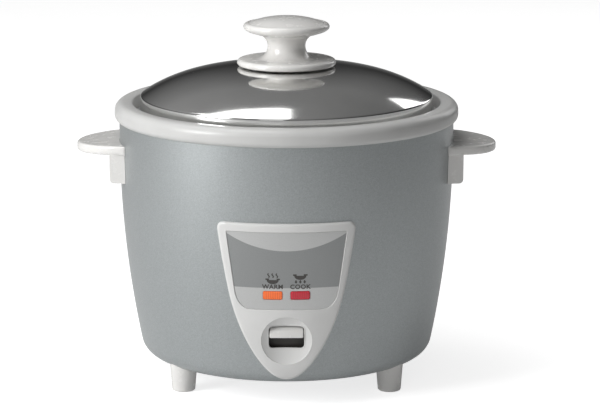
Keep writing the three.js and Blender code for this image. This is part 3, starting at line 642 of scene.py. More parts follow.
def slice_strips(bm, step, axes=((1, 0, 0), (0, 0, 1))):
    """Cuts every face into strips of about the given width, along each of the axes."""
    for axis in axes:
        normal = Vector(axis)
        values = [v.co.dot(normal) for v in bm.verts]
        count = int((max(values) - min(values)) / step)
        for i in range(1, count):
            at = normal * (min(values) + (max(values) - min(values)) * i / count)
            geom = bm.verts[:] + bm.edges[:] + bm.faces[:]
            bmesh.ops.bisect_plane(bm, geom=geom, dist=MERGE_DISTANCE, plane_co=at, plane_no=normal)


# ---------------------------------------------------------------- case and ring


class COOKER_OT_case(bpy.types.Operator):
    """Spins the barrel-shaped case and cuts its openings for the switch, the lamps and the inlet"""

    bl_idname = "cooker.case"
    bl_label = "Case"

    def execute(self, context):
        bm = bmesh.new()
        bottom = low("outer_shell").z
        floor_hole = 60 * MM
        stations = [(floor_hole, bottom + 1.6 * MM, 0), (floor_hole, bottom, 1.2 * MM), *case_curve()]
        draw_profile(bm, stations, closed=False)
        spin_round(bm, sizes().turn_steps)
        lamp_high = high("lamp_holder")
        lamp_z = middle("lamp_holder").z
        inlet_low, inlet_high = inlet_socket()
        openings = (
            (-1, circle_outline(0, dish_height(), sizes().dish_radius + 2 * MM, 32)),
            (-1, rounded_outline(0, lamp_z, lamp_high.x, lamp_high.z - lamp_z, 1 * MM)),
            (1, rounded_outline(0, (inlet_low.z + inlet_high.z) / 2, inlet_high.x + 3 * MM,
                                (inlet_high.z - inlet_low.z) / 2 + 3 * MM, 2 * MM)),
        )
        for side, outline in openings:
            reach = max(abs(x) for x, _ in outline) * 2
            near = [f for f in bm.faces if f.calc_center_median().y * side > 0
                    and abs(f.calc_center_median().x) < reach and f.calc_center_median().z > bottom + 1 * MM]
            bmesh.ops.delete(bm, geom=cut_convex(bm, outline, near), context="FACES")
        thicken(bm, sizes().case_wall)
        piece("case", bm, "cooker", "silver_paint", "silver_paint", "outer_shell")
        return {"FINISHED"}


class COOKER_OT_ring(bpy.types.Operator):
    """Turns the plastic ring that caps the case and carries the pot"""

    bl_idname = "cooker.ring"
    bl_label = "Rim ring"

    def execute(self, context):
        bottom, top = low("top_ring").z, high("top_ring").z
        widest = high("top_ring").x
        shoulder = 5.5 * MM
        ledge = high("inner_pot").z - 1.5 * MM
        inside = high("outer_shell").x - sizes().case_wall
        stations = [
            (inside + 1.1 * MM, bottom, 0.2 * MM),
            (widest - 2.0 * MM, bottom, 0.6 * MM),
            (widest - 0.5 * MM, bottom + 1.2 * MM, 0.9 * MM),
            (widest, bottom + 2.8 * MM, 1.5 * MM),
            *corner_arc(widest - shoulder, top - shoulder, shoulder, 12, 84, 16),
            (widest - 8.0 * MM, top, 0),
            (widest - 11.0 * MM, top - 0.4 * MM, 0.9 * MM),
            (widest - 11.0 * MM, ledge, 0.6 * MM),
            (high("inner_pot").x - 5.0 * MM, ledge, 0.3 * MM),
            (high("inner_pot").x - 5.0 * MM, ledge - 2.2 * MM, 0.3 * MM),
            (widest - 8.6 * MM, ledge - 2.2 * MM, 0.5 * MM),
            (widest - 8.6 * MM, top - 2.6 * MM, 0.8 * MM),
            (inside - 0.3 * MM, top - 3.6 * MM, 0.8 * MM),
            (inside - 0.3 * MM, high("outer_shell").z + 0.3 * MM, 0),
            (inside + 1.1 * MM, high("outer_shell").z + 0.3 * MM, 0),
        ]
        piece("rim_ring", turned(stations), "cooker", "ring_plastic", "ring_plastic", "top_ring")
        return {"FINISHED"}


# ---------------------------------------------------------------- well, plate and pot


class COOKER_OT_heating(bpy.types.Operator):
    """Turns the inner well, the heating plate and the thermostat's cap"""

    bl_idname = "cooker.heating"
    bl_label = "Well and heating plate"

    def execute(self, context):
        self.well()
        self.plate()
        self.sensor()
        return {"FINISHED"}

    def well(self):
        low_, high_ = BOXES["inner_well"]
        wall = 0.8 * MM
        radius = 84.5 * MM
        hole = 18.5 * MM
        stations = [
            (hole, low_.z, 0.2 * MM),
            (radius, low_.z, 6 * MM),
            (radius, high_.z - wall, 0.3 * MM),
            (high_.x, high_.z - wall, 0.2 * MM),
            (high_.x, high_.z, 0.2 * MM),
            (radius - wall, high_.z, 0.8 * MM),
            (radius - wall, low_.z + wall, 5.2 * MM),
            (hole, low_.z + wall, 0.2 * MM),
        ]
        piece("well", turned(stations), "cooker", "zinc_steel", "zinc_steel", "inner_well")

    def plate(self):
        low_, high_ = BOXES["heating_plate"]
        radius = high_.x
        thick = 6.4 * MM
        hole = 16.4 * MM
        groove = 0.35 * MM
        face = []
        for i in range(9):
            r = hole + 4 * MM + i * 5.6 * MM
            face += [(r, high_.z, 0), (r + groove, high_.z - groove, 0), (r + 2 * groove, high_.z, 0)]
        stations = [
            (hole, high_.z - thick, 0.4 * MM),
            (hole, high_.z, 0.8 * MM),
            *face,
            (radius, high_.z, 1.6 * MM),
            (radius, high_.z - thick, 0.8 * MM),
            (63 * MM, high_.z - thick, 0.3 * MM),
            (62 * MM, low_.z + 2.4 * MM, 0.6 * MM),
            (57 * MM, low_.z + 2.4 * MM, 0.3 * MM),
            (57 * MM, high_.z - 5.2 * MM, 2.6 * MM),
            (49 * MM, high_.z - 5.2 * MM, 2.6 * MM),
            (49 * MM, low_.z + 2.4 * MM, 0.3 * MM),
            (44 * MM, low_.z + 2.4 * MM, 0.6 * MM),
            (43 * MM, high_.z - thick, 0.3 * MM),
        ]
        made = turned(stations, round_steps=4)
        piece("plate", made, "cooker", "cast_aluminium", "cast_aluminium", "heating_plate")

    def sensor(self):
        low_, high_ = BOXES["sensor_cap"]
        wall = 1.0 * MM
        stations = [
            (0, high_.z - 0.3 * MM, 0),
            (3 * MM, high_.z - 0.3 * MM, 0.5 * MM),
            (3.4 * MM, high_.z, 0.3 * MM),
            (high_.x, high_.z, 1.2 * MM),
            (high_.x, low_.z, 0.3 * MM),
            (high_.x - wall, low_.z, 0.3 * MM),
            (high_.x - wall, high_.z - 1.2 * MM, 0.6 * MM),
            (0, high_.z - 1.2 * MM, 0),
        ]
        made = turned(stations, steps=sizes().small_steps, closed=False)
        piece("thermostat_cap", made, "sensor", "pot_aluminium", "pot_aluminium", "sensor_cap")


class COOKER_OT_pot(bpy.types.Operator):
    """Turns the lift-out pot, with its flange, its rounded foot and two filling lines"""

    bl_idname = "cooker.pot"
    bl_label = "Pot"

    def execute(self, context):
        low_, high_ = BOXES["inner_pot"]
        wall = 1.2 * MM
        corner = 15 * MM
        foot = 78.6 * MM
        top = 81.4 * MM
        inner = []
        for level in (0.68, 0.42):
            z = low_.z + (high_.z - low_.z) * level
            r = foot + (top - foot) * level - wall
            inner += [(r, z + 0.5 * MM, 0), (r - 0.25 * MM, z, 0), (r, z - 0.5 * MM, 0)]
        stations = [
            (0, low_.z, 0),
            (foot, low_.z, corner),
            (top, high_.z - wall, 1.4 * MM),
            (high_.x - 0.2 * MM, high_.z - wall, 0.5 * MM),
            (high_.x, high_.z, 0.5 * MM),
            (top - wall, high_.z, 2.2 * MM),
            *inner,
            (foot - wall, low_.z + wall, corner - wall),
            (0, low_.z + wall, 0),
        ]
        made = turned(stations, closed=False, round_steps=10)
        piece("pot", made, "pot", "pot_aluminium", "pot_aluminium", "inner_pot")
        return {"FINISHED"}


# ---------------------------------------------------------------- lid and knob


def dome_edge():
    """Radius and height of the edge of the lid's dome."""
    return high("lid_shell").x - 1.4 * MM, low("lid_shell").z + 11 * MM


def dome_height(radius):
    """Height of the lid's outer surface at a radius."""
    edge, edge_z = dome_edge()
    rise = high("lid_shell").z - edge_z
    return edge_z + rise * (1 - (radius / edge) ** sizes().dome_fullness)


class COOKER_OT_lid(bpy.types.Operator):
    """Spins the polished lid: a dome that runs over a small shoulder into a straight skirt"""

    bl_idname = "cooker.lid"
    bl_label = "Lid"

    def execute(self, context):
        low_, high_ = BOXES["lid_shell"]
        wall = 0.8 * MM
        edge, edge_z = dome_edge()
        hole = 2.4 * MM
        shares = [1 - (i / 30) ** 1.5 for i in range(30)]
        outside = [(edge * t, dome_height(edge * t), 0) for t in shares if edge * t > hole]
        inside = [((edge - wall) * t, dome_height(edge * t) - wall, 0) for t in shares if edge * t > hole]
        stations = [
            (high_.x - wall - 1.3 * MM, low_.z, 0.3 * MM),
            (high_.x, low_.z, 0.5 * MM),
            (high_.x, edge_z - 0.9 * MM, 0.7 * MM),
            *outside,
            (hole, dome_height(0), 0),
            (hole, dome_height(0) - wall, 0),
            *reversed(inside),
            (high_.x - wall, edge_z - 1.3 * MM, 0.5 * MM),
            (high_.x - wall, low_.z + wall, 0.3 * MM),
            (high_.x - wall - 1.3 * MM, low_.z + wall, 0.3 * MM),
        ]
        piece("lid", turned(stations), "lid", "lid_steel", "lid_steel", "lid_shell")
        return {"FINISHED"}


class COOKER_OT_knob(bpy.types.Operator):
    """Turns the knob, with its broad foot, hollow stem and disc, and the cap set in the disc"""

    bl_idname = "cooker.knob"
    bl_label = "Knob"

    def execute(self, context):
        low_, high_ = BOXES["lid_knob"]
        cap_low, cap_high = BOXES["knob_cap"]
        foot, disc = high_.x, 26.2 * MM
        waist, hollow = 11.5 * MM, 7.6 * MM
        rim_low = high("lid_shell").z + 0.4 * MM
        rim_top = rim_low + 4.0 * MM
        disc_z = rim_top + 2 * hollow + 4.2 * MM
        bore = 2.3 * MM
        stem = corner_arc(waist + hollow, rim_top + hollow, hollow, 268, 92, 20)
        stations = [
            (bore, low_.z, 0),
            (9 * MM, low_.z, 0.3 * MM),
            (9 * MM, rim_low + 1.2 * MM, 0.3 * MM),
            (foot - 7 * MM, rim_low + 1.2 * MM, 1.5 * MM),
            (foot - 3.4 * MM, rim_low, 0.6 * MM),
            (foot - 0.6 * MM, rim_low, 1.2 * MM),
            (foot, rim_low + 2.0 * MM, 0.9 * MM),
            (foot - 1.0 * MM, rim_top, 1.6 * MM),
            *stem,
            (disc - 1.9 * MM, disc_z - 2.4 * MM, 1.2 * MM),
            (disc, disc_z - 0.8 * MM, 1.0 * MM),
            (disc - 0.1 * MM, disc_z + 1.0 * MM, 0.8 * MM),
            (disc - 1.4 * MM, disc_z + 2.3 * MM, 0.8 * MM),
            (cap_high.x + 0.3 * MM, disc_z + 2.6 * MM, 0.2 * MM),
            (cap_high.x + 0.3 * MM, cap_low.z - 0.3 * MM, 0.2 * MM),
            (bore, cap_low.z - 0.3 * MM, 0),
        ]
        piece("knob", turned(stations), "lid", "white_plastic", "white_plastic", "lid_knob")
        crown = [(cap_high.x * t, cap_high.z - (cap_high.z - disc_z - 2.4 * MM) * t**2.4, 0)
                 for t in (0.96, 0.9, 0.8, 0.68, 0.55, 0.42, 0.28, 0.14)]
        cap = [
            (0, cap_low.z, 0),
            (cap_high.x, cap_low.z, 0.2 * MM),
            (cap_high.x, disc_z + 2.5 * MM, 0.35 * MM),
            *crown,
            (0, cap_high.z, 0),
        ]
        piece("knob_top", turned(cap, closed=False), "lid", "white_plastic", "white_plastic", "knob_cap")
        return {"FINISHED"}


# ---------------------------------------------------------------- handles and feet


class COOKER_OT_handles(bpy.types.Operator):
    """Builds each side handle: a rounded thumb plate over an upright, both fitted to the case"""

    bl_idname = "cooker.handles"
    bl_label = "Handles"

    def execute(self, context):
        for name, turn in (("handle_right", 0), ("handle_left", math.pi)):
            bm = self.right_handle()
            bm.transform(Matrix.Rotation(turn, 4, "Z"))
            piece(name.replace("handle", "grip"), bm, "cooker", "white_plastic", "white_plastic", name)
        return {"FINISHED"}

    def against_case(self, half):
        """Points where a piece meets the case, from its rear end to its front end, in X and Y."""
        radius = case_radius(high("handle_right").z, FIT)
        count = 16
        ys = [half * (1 - 2 * i / count) for i in range(count + 1)]
        return [(math.sqrt(radius**2 - y**2), y) for y in ys]

    def slab(self, outline, bottom, top):
        """A solid of an outline in X and Y between two heights."""
        bm = bmesh.new()
        base = bm.faces.new([bm.verts.new((x, y, bottom)) for x, y in outline])
        extruded(bm, base, (0, 0, top - bottom))
        bmesh.ops.recalc_face_normals(bm, faces=bm.faces[:])
        return bm

    def round_off(self, bm, radius, level, outside):
        """Rounds the edges at a height that stand further out than a given distance from the axis."""
        rim = [e for e in bm.edges if all(abs(v.co.z - level) < MERGE_DISTANCE for v in e.verts)
               and min(v.co.xy.length for v in e.verts) > outside]
        bevel_edges(bm, rim, radius, 5)

    def right_handle(self):
        low_, high_ = BOXES["handle_right"]
        thick = 5.5 * MM
        bracket = 106.3 * MM
        root = high("outer_shell").x - 12 * MM
        wall = case_radius(high_.z, FIT)
        under = high_.z - thick
        ellipse = [(root + (high_.x - root) * math.cos(a), high_.y * math.sin(a))
                   for a in (math.pi * (i / 56 - 0.5) for i in range(57))]
        free = [(x, y) for x, y in ellipse if math.hypot(x, y) > wall + 0.5 * MM]
        plate = self.slab(free + self.against_case(free[-1][1]), under, high_.z)
        for level in (under, high_.z):
            self.round_off(plate, 1.5 * MM, level, wall + 0.3 * MM)
        slice_strips(plate, 2 * MM, axes=((1, 0, 0), (0, 1, 0)))
        for vert in plate.verts:
            vert.co.z -= max(0.0, vert.co.x - bracket) * 0.06
        half = min(high_.y - 0.6 * MM, free[-1][1] - 1 * MM)
        face = [(bracket, -half + 1 * MM), (bracket, half - 1 * MM)]
        upright = self.slab([*face, *self.against_case(half)], low_.z, under + 1 * MM)
        self.round_off(upright, 2.5 * MM, low_.z, wall + 0.3 * MM)
        for vert in upright.verts:
            if vert.co.xy.length < wall + 0.1 * MM:
                fitted = case_radius(vert.co.z, FIT)
                vert.co.x = math.sqrt(fitted**2 - vert.co.y**2)
        joined = bpy.data.meshes.new("upright")
        upright.to_mesh(joined)
        upright.free()
        plate.from_mesh(joined)
        bpy.data.meshes.remove(joined)
        return plate


class COOKER_OT_feet(bpy.types.Operator):
    """Turns the four tapered feet and fits their tops to the rounded underside of the case"""

    bl_idname = "cooker.feet"
    bl_label = "Feet"

    def execute(self, context):
        for where in CORNERS:
            name, screw = "foot_" + where, "foot_screw_" + where
            bore_top = low(screw).z + 2.5 * MM
            top_radius, end_radius = 8.1 * MM, 6.9 * MM
            height = high(name).z + 2 * MM
            stations = [
                (3.9 * MM, 0, 0.2 * MM),
                (end_radius, 0, 1.1 * MM),
                (top_radius, height, 0),
                (2.0 * MM, height, 0),
                (2.0 * MM, bore_top, 0),
                (3.9 * MM, bore_top, 0.2 * MM),
            ]
            bm = turned(stations, steps=sizes().small_steps)
            bmesh.ops.translate(bm, verts=bm.verts[:], vec=(middle(screw).x, middle(screw).y, 0))
            for vert in bm.verts:
                if vert.co.z > bore_top + 1 * MM:
                    vert.co.z = self.underside(math.hypot(vert.co.x, vert.co.y)) - 0.05 * MM
            piece(name.replace("foot", "stand"), bm, "cooker", "white_plastic", "white_plastic", name)
        return {"FINISHED"}

    def underside(self, radius):
        """Height of the case's underside at a radius."""
        fr, fz = fillet_centre()
        out = max(0.0, radius - fr)
        return fz - math.sqrt(max(0.0, sizes().case_fillet**2 - out**2))


# ---------------------------------------------------------------- front panel


def dish_height():
    """Height of the middle of the switch's dish."""
    return low("control_panel").z + 25.1 * MM


def bezier_points(start, handle_a, handle_b, end, count):
    """Points along a cubic curve in X and Z."""
    knots = [Vector((x, 0, z)) for x, z in (start, handle_a, handle_b, end)]
    return [(p.x, p.z) for p in interpolate_bezier(*knots, count)]


def mirrored_outline(right_side):
    """Closes an outline from its right side, which runs from the bottom middle to the top middle."""
    left_side = [(-x, z) for x, z in reversed(right_side) if x > MERGE_DISTANCE]
    return right_side + left_side


def panel_outline():
    """The shield: a narrow rounded tip, sides that swell gently and a straight top with round corners."""
    tip, top = low("control_panel").z, high("control_panel").z
    half = 40 * MM
    waist = (33.5 * MM, tip + 53.4 * MM)
    shoulder = (half, top - 5.4 * MM)
    corner = (half - 4.6 * MM, top)
    side = bezier_points((0, tip), (12 * MM, tip), (27.5 * MM, tip + 25.4 * MM), waist, 26)
    flank = bezier_points(waist, (36 * MM, tip + 65.4 * MM), (38.2 * MM, tip + 78 * MM), shoulder, 14)
    turn = bezier_points(shoulder, (half + 0.6 * MM, top - 1.8 * MM), (half - 0.9 * MM, top), corner, 8)
    return mirrored_outline([*side, *flank[1:], *turn[1:]])


def label_outline(margin=0.0):
    """The label: straight top, sides that taper, and a foot with large round corners."""
    box_low, box_high = BOXES["panel_label"]
    bottom, top = box_low.z - 0.3 * MM + margin, box_high.z + 0.3 * MM - margin
    half, knee, foot = 35.6 * MM - margin, 30.4 * MM - margin, 20 * MM
    knee_z = bottom + 11 * MM
    turn = bezier_points((foot, bottom), (foot + 6.2 * MM, bottom), (knee - 1.2 * MM, knee_z - 6.4 * MM),
                         (knee, knee_z), 10)
    upper_corner = [(half - 0.4 * MM, top - 0.7 * MM), (half - 1.1 * MM, top)]
    return mirrored_outline([(0, bottom), *turn, *upper_corner, (0, top)])


def flat_face(bm, outline, height):
    """A flat face of an outline in X and Z, at a height towards the front."""
    return bm.faces.new([bm.verts.new((x, -height, z)) for x, z in outline])


def step_region(bm, faces, inset, rise):
    """Insets a region and raises what is inside, towards the front."""
    bmesh.ops.inset_region(bm, faces=faces, thickness=inset, depth=0, use_even_offset=True, use_boundary=True)
    inner = {v for f in faces for v in f.verts}
    bmesh.ops.translate(bm, verts=list(inner), vec=(0, -rise, 0))


def rounded_rise(bm, faces, radius, steps=5):
    """Rounds the edge of a region over a quarter circle as it rises."""
    for i in range(steps):
        a, b = (math.pi / 2 * k / steps for k in (i, i + 1))
        inset = radius * (math.cos(a) - math.cos(b))
        rise = radius * (math.sin(b) - math.sin(a))
        step_region(bm, faces, inset, rise)


def lens_box(name):
    """Centre in X and Z, half width and half height of a lens."""
    half = (high(name) - low(name)) / 2
    return middle(name).x, middle(name).z, half.x, half.z


LENSES = (("warm_lens", "orange_lens"), ("cook_lens", "red_lens"))


class COOKER_OT_panel(bpy.types.Operator):
    """Models the front panel with its label seat, dish and switch window, and bends it round the case"""

    bl_idname = "cooker.panel"
    bl_label = "Front panel"

    def execute(self, context):
        bm = bmesh.new()
        proud = sizes().panel_proud
        edge = 1.4 * MM
        face = flat_face(bm, panel_outline(), 0.05 * MM)
        top = extruded(bm, face, (0, edge - proud, 0), keep=False)
        bmesh.ops.delete(bm, geom=[face], context="FACES_ONLY")
        rounded_rise(bm, top, edge)
        outer = {f for f in bm.faces if f not in top}
        seat = cut_convex(bm, label_outline(), top)
        step_region(bm, seat, 0.25 * MM, -0.3 * MM)
        step_region(bm, seat, 0.05 * MM, -1.0 * MM)
        self.lens_holes(bm)
        level = [f for f in bm.faces if f not in outer and f.calc_center_median().y < 0.1 * MM - proud]
        self.dish(bm, level)
        slice_strips(bm, 2.5 * MM)
        bmesh.ops.remove_doubles(bm, verts=bm.verts[:], dist=0.01 * MM)
        wrap_on_case(bm)
        thicken(bm, 0.9 * MM)
        piece("front_panel", bm, "cooker", "panel_plastic", "white_plastic", "control_panel")
        return {"FINISHED"}

    def lens_holes(self, bm):
        for name, _ in LENSES:
            x, z, half_w, half_h = lens_box(name)
            outline = rounded_outline(x, z, half_w + 0.25 * MM, half_h + 0.25 * MM, 1.1 * MM)
            near = [f for f in bm.faces if f.calc_center_median().y > -1.35 * MM and self.within_label(f)]
            bmesh.ops.delete(bm, geom=cut_convex(bm, outline, near), context="FACES")

    def within_label(self, face):
        box_low, box_high = BOXES["panel_label"]
        centre = face.calc_center_median()
        return box_low.z < centre.z < box_high.z and abs(centre.x) < box_high.x

    def dish(self, bm, level):
        """Sinks a shallow bowl with a crisp rim, and opens the lever's window in it with a raised lip."""
        radius = sizes().dish_radius
        centre_z = dish_height()
        bowl = cut_convex(bm, circle_outline(0, centre_z, radius, 72), level)
        step_region(bm, bowl, 0.25 * MM, -0.5 * MM)
        inner = radius - 0.25 * MM
        level_y = bowl[0].verts[0].co.y
        depth = 4.2 * MM
        window_z = centre_z + 1.8 * MM
        half_width, half_height, corner = 10.35 * MM, 7 * MM, 2.2 * MM
        circle = circle_outline(0, centre_z, inner, 72)

        def window(margin):
            return rounded_outline(0, window_z, half_width + margin, half_height + margin, corner + margin)

        def sunk(x, z):
            return level_y + depth * (1 - ((x**2 + (z - centre_z) ** 2) / inner**2))

        def at(share, outline, lift):
            """A rule that puts a corner part of the way from the bowl's rim to an outline."""
            def place(vert):
                ax, az = ray_to_outline(vert.co, window_z, circle)
                bx, bz = ray_to_outline(vert.co, window_z, outline)
                x, z = ax + (bx - ax) * share, az + (bz - az) * share
                return x, sunk(x, z) + lift, z
            return place

        inside = set(bowl)
        edges = [e for e in {e for f in bowl for e in f.edges} if sum(f in inside for f in e.link_faces) == 1]
        bmesh.ops.delete(bm, geom=bowl, context="FACES")
        rings = 9
        for k in range(1, rings + 1):
            edges = self.next_ring(bm, edges, at(k / rings, window(0.7 * MM), 0))
        edges = self.next_ring(bm, edges, at(1, window(0.4 * MM), -0.3 * MM))
        edges = self.next_ring(bm, edges, at(1, window(0), -0.2 * MM))
        self.next_ring(bm, edges, at(1, window(0), 0.8 * MM))

    def next_ring(self, bm, edges, place):
        """Draws a ring of faces inwards from a ring of edges, and gives back the new ring."""
        made = bmesh.ops.extrude_edge_only(bm, edges=edges)["geom"]
        verts = [v for v in made if isinstance(v, bmesh.types.BMVert)]
        for vert in verts:
            vert.co = place(vert)
        fresh = set(verts)
        return [e for e in {e for v in verts for e in v.link_edges} if fresh.issuperset(e.verts)]


class COOKER_OT_label(bpy.types.Operator):
    """Bends the printed label into its seat, with the two lamp lenses and the captions over them"""

    bl_idname = "cooker.label"
    bl_label = "Label and lamps"

    def execute(self, context):
        self.film()
        for name, finish in LENSES:
            self.lens(name, finish)
        self.captions()
        return {"FINISHED"}

    def film(self):
        bm = bmesh.new()
        flat_face(bm, label_outline(0.35 * MM), 2.2 * MM)
        for name, _ in LENSES:
            x, z, half_w, half_h = lens_box(name)
            outline = rounded_outline(x, z, half_w + 0.2 * MM, half_h + 0.2 * MM, 1.1 * MM)
            bmesh.ops.delete(bm, geom=cut_convex(bm, outline, bm.faces[:]), context="FACES")
        slice_strips(bm, 2.5 * MM)
        wrap_on_case(bm)
        thicken(bm, 0.6 * MM)
        piece("label", bm, "cooker", "label_film", "label_film", "panel_label")

    def lens(self, name, finish):
        bm = bmesh.new()
        x, z, half_w, half_h = lens_box(name)
        face = flat_face(bm, rounded_outline(x, z, half_w, half_h, 1.0 * MM), 0.4 * MM)
        top = extruded(bm, face, (0, -1.6 * MM, 0))
        rounded_rise(bm, top, 0.5 * MM, steps=4)
        slice_strips(bm, 1.5 * MM)
        wrap_on_case(bm)
        bmesh.ops.recalc_face_normals(bm, faces=bm.faces[:])
        piece(name.replace("lens", "light"), bm, "cooker", finish, finish, name)

    def captions(self):
        """Prints a word over each lamp, under a small sign: a bowl with steam, or a bowl over flames."""
        signs = (("warm_lens", "WARM", self.steam_sign), ("cook_lens", "COOK", self.flame_sign))
        for name, word, draw in signs:
            x, z, _, half_h = lens_box(name)
            bm = self.word(word, x, z + half_h + 1.6 * MM)
            draw(bm, x, z + half_h + 7.4 * MM)
            bmesh.ops.remove_doubles(bm, verts=bm.verts[:], dist=MERGE_DISTANCE)
            wrap_on_case(bm)
            bmesh.ops.recalc_face_normals(bm, faces=bm.faces[:])
            piece("caption_" + word.lower(), bm, "cooker", "caption_ink", "label_film")

    def word(self, text, x, z):
        curve = bpy.data.curves.new("word", "FONT")
        curve.body = text
        curve.size = 3.7 * MM
        curve.align_x = "CENTER"
        curve.space_character = 1.12
        curve.offset = 0.12 * MM
        letters = bpy.data.objects.new("word", curve)
        bpy.context.scene.collection.objects.link(letters)
        bpy.context.view_layer.update()
        mesh = bpy.data.meshes.new_from_object(letters)
        bm = bmesh.new()
        bm.from_mesh(mesh)
        bpy.data.objects.remove(letters)
        bpy.data.curves.remove(curve)
        bpy.data.meshes.remove(mesh)
        upright = Matrix.Translation((x, -INK_HEIGHT, z)) @ Matrix.Rotation(math.pi / 2, 4, "X")
        bmesh.ops.transform(bm, matrix=upright, verts=bm.verts[:])
        return bm

    def strip(self, bm, points, width):
        """A printed stroke of even width along points."""
        sides = []
        for i, (x, z) in enumerate(points):
            before = Vector(points[max(0, i - 1)])
            after = Vector(points[min(len(points) - 1, i + 1)])
            along = (after - before).normalized()
            across = Vector((-along.y, along.x)) * width / 2
            sides.append([bm.verts.new((x + s * across.x, -INK_HEIGHT, z + s * across.y)) for s in (-1, 1)])
        for (a, b), (c, d) in zip(sides, sides[1:]):
            bm.faces.new((a, b, d, c))

    def bowl(self, bm, x, z):
        """A printed bowl: a stroke for its rim over a half ellipse."""
        width = 8.4 * MM
        rim = [(x - width / 2, z), (x + width / 2, z)]
        self.strip(bm, rim, 0.9 * MM)
        hollow = [(x + width * 0.42 * math.cos(a), z - 0.45 * MM + width * 0.3 * math.sin(a))
                  for a in (math.pi * (1 + k / 10) for k in range(11))]
        flat_face(bm, hollow, INK_HEIGHT)

    def steam_sign(self, bm, x, z):
        self.bowl(bm, x, z)
        for dx in (-2.4, 0, 2.4):
            wave = [(x + dx * MM + 0.45 * MM * math.sin(k * 0.9), z + 1.0 * MM + k * 0.36 * MM)
                    for k in range(8)]
            self.strip(bm, wave, 0.7 * MM)

    def flame_sign(self, bm, x, z):
        self.bowl(bm, x, z + 2.6 * MM)
        for dx in (-2.5, 0, 2.5):
            corners = ((dx, -2.6), (dx + 0.8, -1.7), (dx, -0.2), (dx - 0.8, -1.7))
            flame = [(x + across * MM, z + up * MM) for across, up in corners]
            flat_face(bm, flame, INK_HEIGHT)


class COOKER_OT_lever(bpy.types.Operator):
    """Shapes the switch's paddle, which swells towards its lower edge, and the shield behind it, made dark as
    painted shade
    """

    bl_idname = "cooker.lever"
    bl_label = "Switch lever"

    def execute(self, context):
        box_low, box_high = BOXES["lever_knob"]
        half = 9.9 * MM
        top, bottom = 50.9 * MM, 43.9 * MM
        front, back = box_low.y, -87.6 * MM
        bm = bmesh.new()
        outline = [
            (back, top),
            (front + 2.6 * MM, top),
            (front + 1.3 * MM, top - 1.2 * MM),
            (front + 0.5 * MM, top - 3.2 * MM),
            (front, bottom + 1.6 * MM),
            (front + 0.5 * MM, bottom + 0.3 * MM),
            (front + 1.4 * MM, bottom),
            (back, bottom),
        ]
        side = bm.faces.new([bm.verts.new((-half, y, z)) for y, z in outline])
        extruded(bm, side, (2 * half, 0, 0))
        bmesh.ops.recalc_face_normals(bm, faces=bm.faces[:])
        keen = [e for e in bm.edges if e.calc_face_angle(0) > math.radians(60)
                and min(v.co.y for v in e.verts) < back - 1 * MM]
        bevel_edges(bm, keen, 0.7 * MM, 4)
        piece("paddle", bm, "lever", "white_plastic", "white_plastic", "lever_knob")
        self.shield(box_low, box_high)
        return {"FINISHED"}

    def shield(self, box_low, box_high):
        """Makes the plate that closes the window behind the paddle, and the boss that grips the arm, both dark
        as painted shade.
        """
        bm = bmesh.new()
        blocks = (
            ((box_low.x, -88 * MM, box_low.z), (box_high.x, -86.2 * MM, box_high.z)),
            ((-7 * MM, -86.25 * MM, 44.1 * MM), (7 * MM, box_high.y, 50.4 * MM)),
        )
        for corner, other in blocks:
            made = bmesh.ops.create_cube(bm, size=1)
            bmesh.ops.scale(bm, verts=made["verts"], vec=Vector(other) - Vector(corner))
            bmesh.ops.translate(bm, verts=made["verts"], vec=(Vector(corner) + Vector(other)) / 2)
            edges = list({e for v in made["verts"] for e in v.link_edges})
            bevel_edges(bm, edges, 0.3 * MM, 2)
        # The dark moulding finish on the plate and boss is painted shade: the real ones are the paddle's white
        # plastic, seen in shade through the window.
        piece("shield", bm, "lever", "dark_moulding", "dark_moulding")


# ---------------------------------------------------------------- inlet and screws


def inlet_socket():
    """The lowest and highest corners of the mouth of the mains inlet."""
    z = middle("inlet_housing").z
    return Vector((-11.7 * MM, 0, z - 7.7 * MM)), Vector((11.7 * MM, high("inlet_housing").y, z + 7.7 * MM))


class COOKER_OT_inlet(bpy.types.Operator):
    """Models the mains inlet at the back and its two pins"""

    bl_idname = "cooker.inlet"
    bl_label = "Mains inlet"

    def execute(self, context):
        box_low, box_high = BOXES["inlet_housing"]
        _, mouth_high = inlet_socket()
        z = middle("inlet_housing").z
        bm = bmesh.new()
        outline = rounded_outline(0, z, box_high.x, (box_high.z - box_low.z) / 2, 3 * MM)
        back = 80 * MM
        face = flat_face(bm, outline, back)
        edge = 0.8 * MM
        front = extruded(bm, face, (0, back + edge - box_high.y, 0))
        rounded_rise(bm, front, edge, steps=4)
        mouth = cut_convex(bm, rounded_outline(0, z, mouth_high.x, mouth_high.z - z, 1.6 * MM), front)
        step_region(bm, mouth, 0.4 * MM, -0.4 * MM)
        step_region(bm, mouth, 0.02 * MM, -16 * MM)
        bmesh.ops.rotate(bm, verts=bm.verts[:], cent=(0, 0, 0), matrix=Matrix.Rotation(math.pi, 3, "Z"))
        bmesh.ops.recalc_face_normals(bm, faces=bm.faces[:])
        piece("inlet", bm, "cooker", "dark_moulding", "dark_moulding", "inlet_housing")
        for side in ("left", "right"):
            self.pin("inlet_pin_" + side)
        return {"FINISHED"}

    def pin(self, name):
        box_low, box_high = BOXES[name]
        length = box_high.y - box_low.y
        stations = [
            (0, 0, 0),
            (1.2 * MM, 0, 0.2 * MM),
            (1.2 * MM, 4 * MM, 0),
            (2 * MM, 4 * MM, 0.2 * MM),
            (2 * MM, length, 1.4 * MM),
            (0, length, 0),
        ]
        bm = turned(stations, steps=sizes().small_steps, closed=False)
        spot = Matrix.Translation((middle(name).x, box_low.y, middle(name).z))
        place = spot @ Matrix.Rotation(-math.pi / 2, 4, "X")
        bmesh.ops.transform(bm, matrix=place, verts=bm.verts[:])
        piece(name.replace("inlet", "contact"), bm, "cooker", "brass", "brass", name)


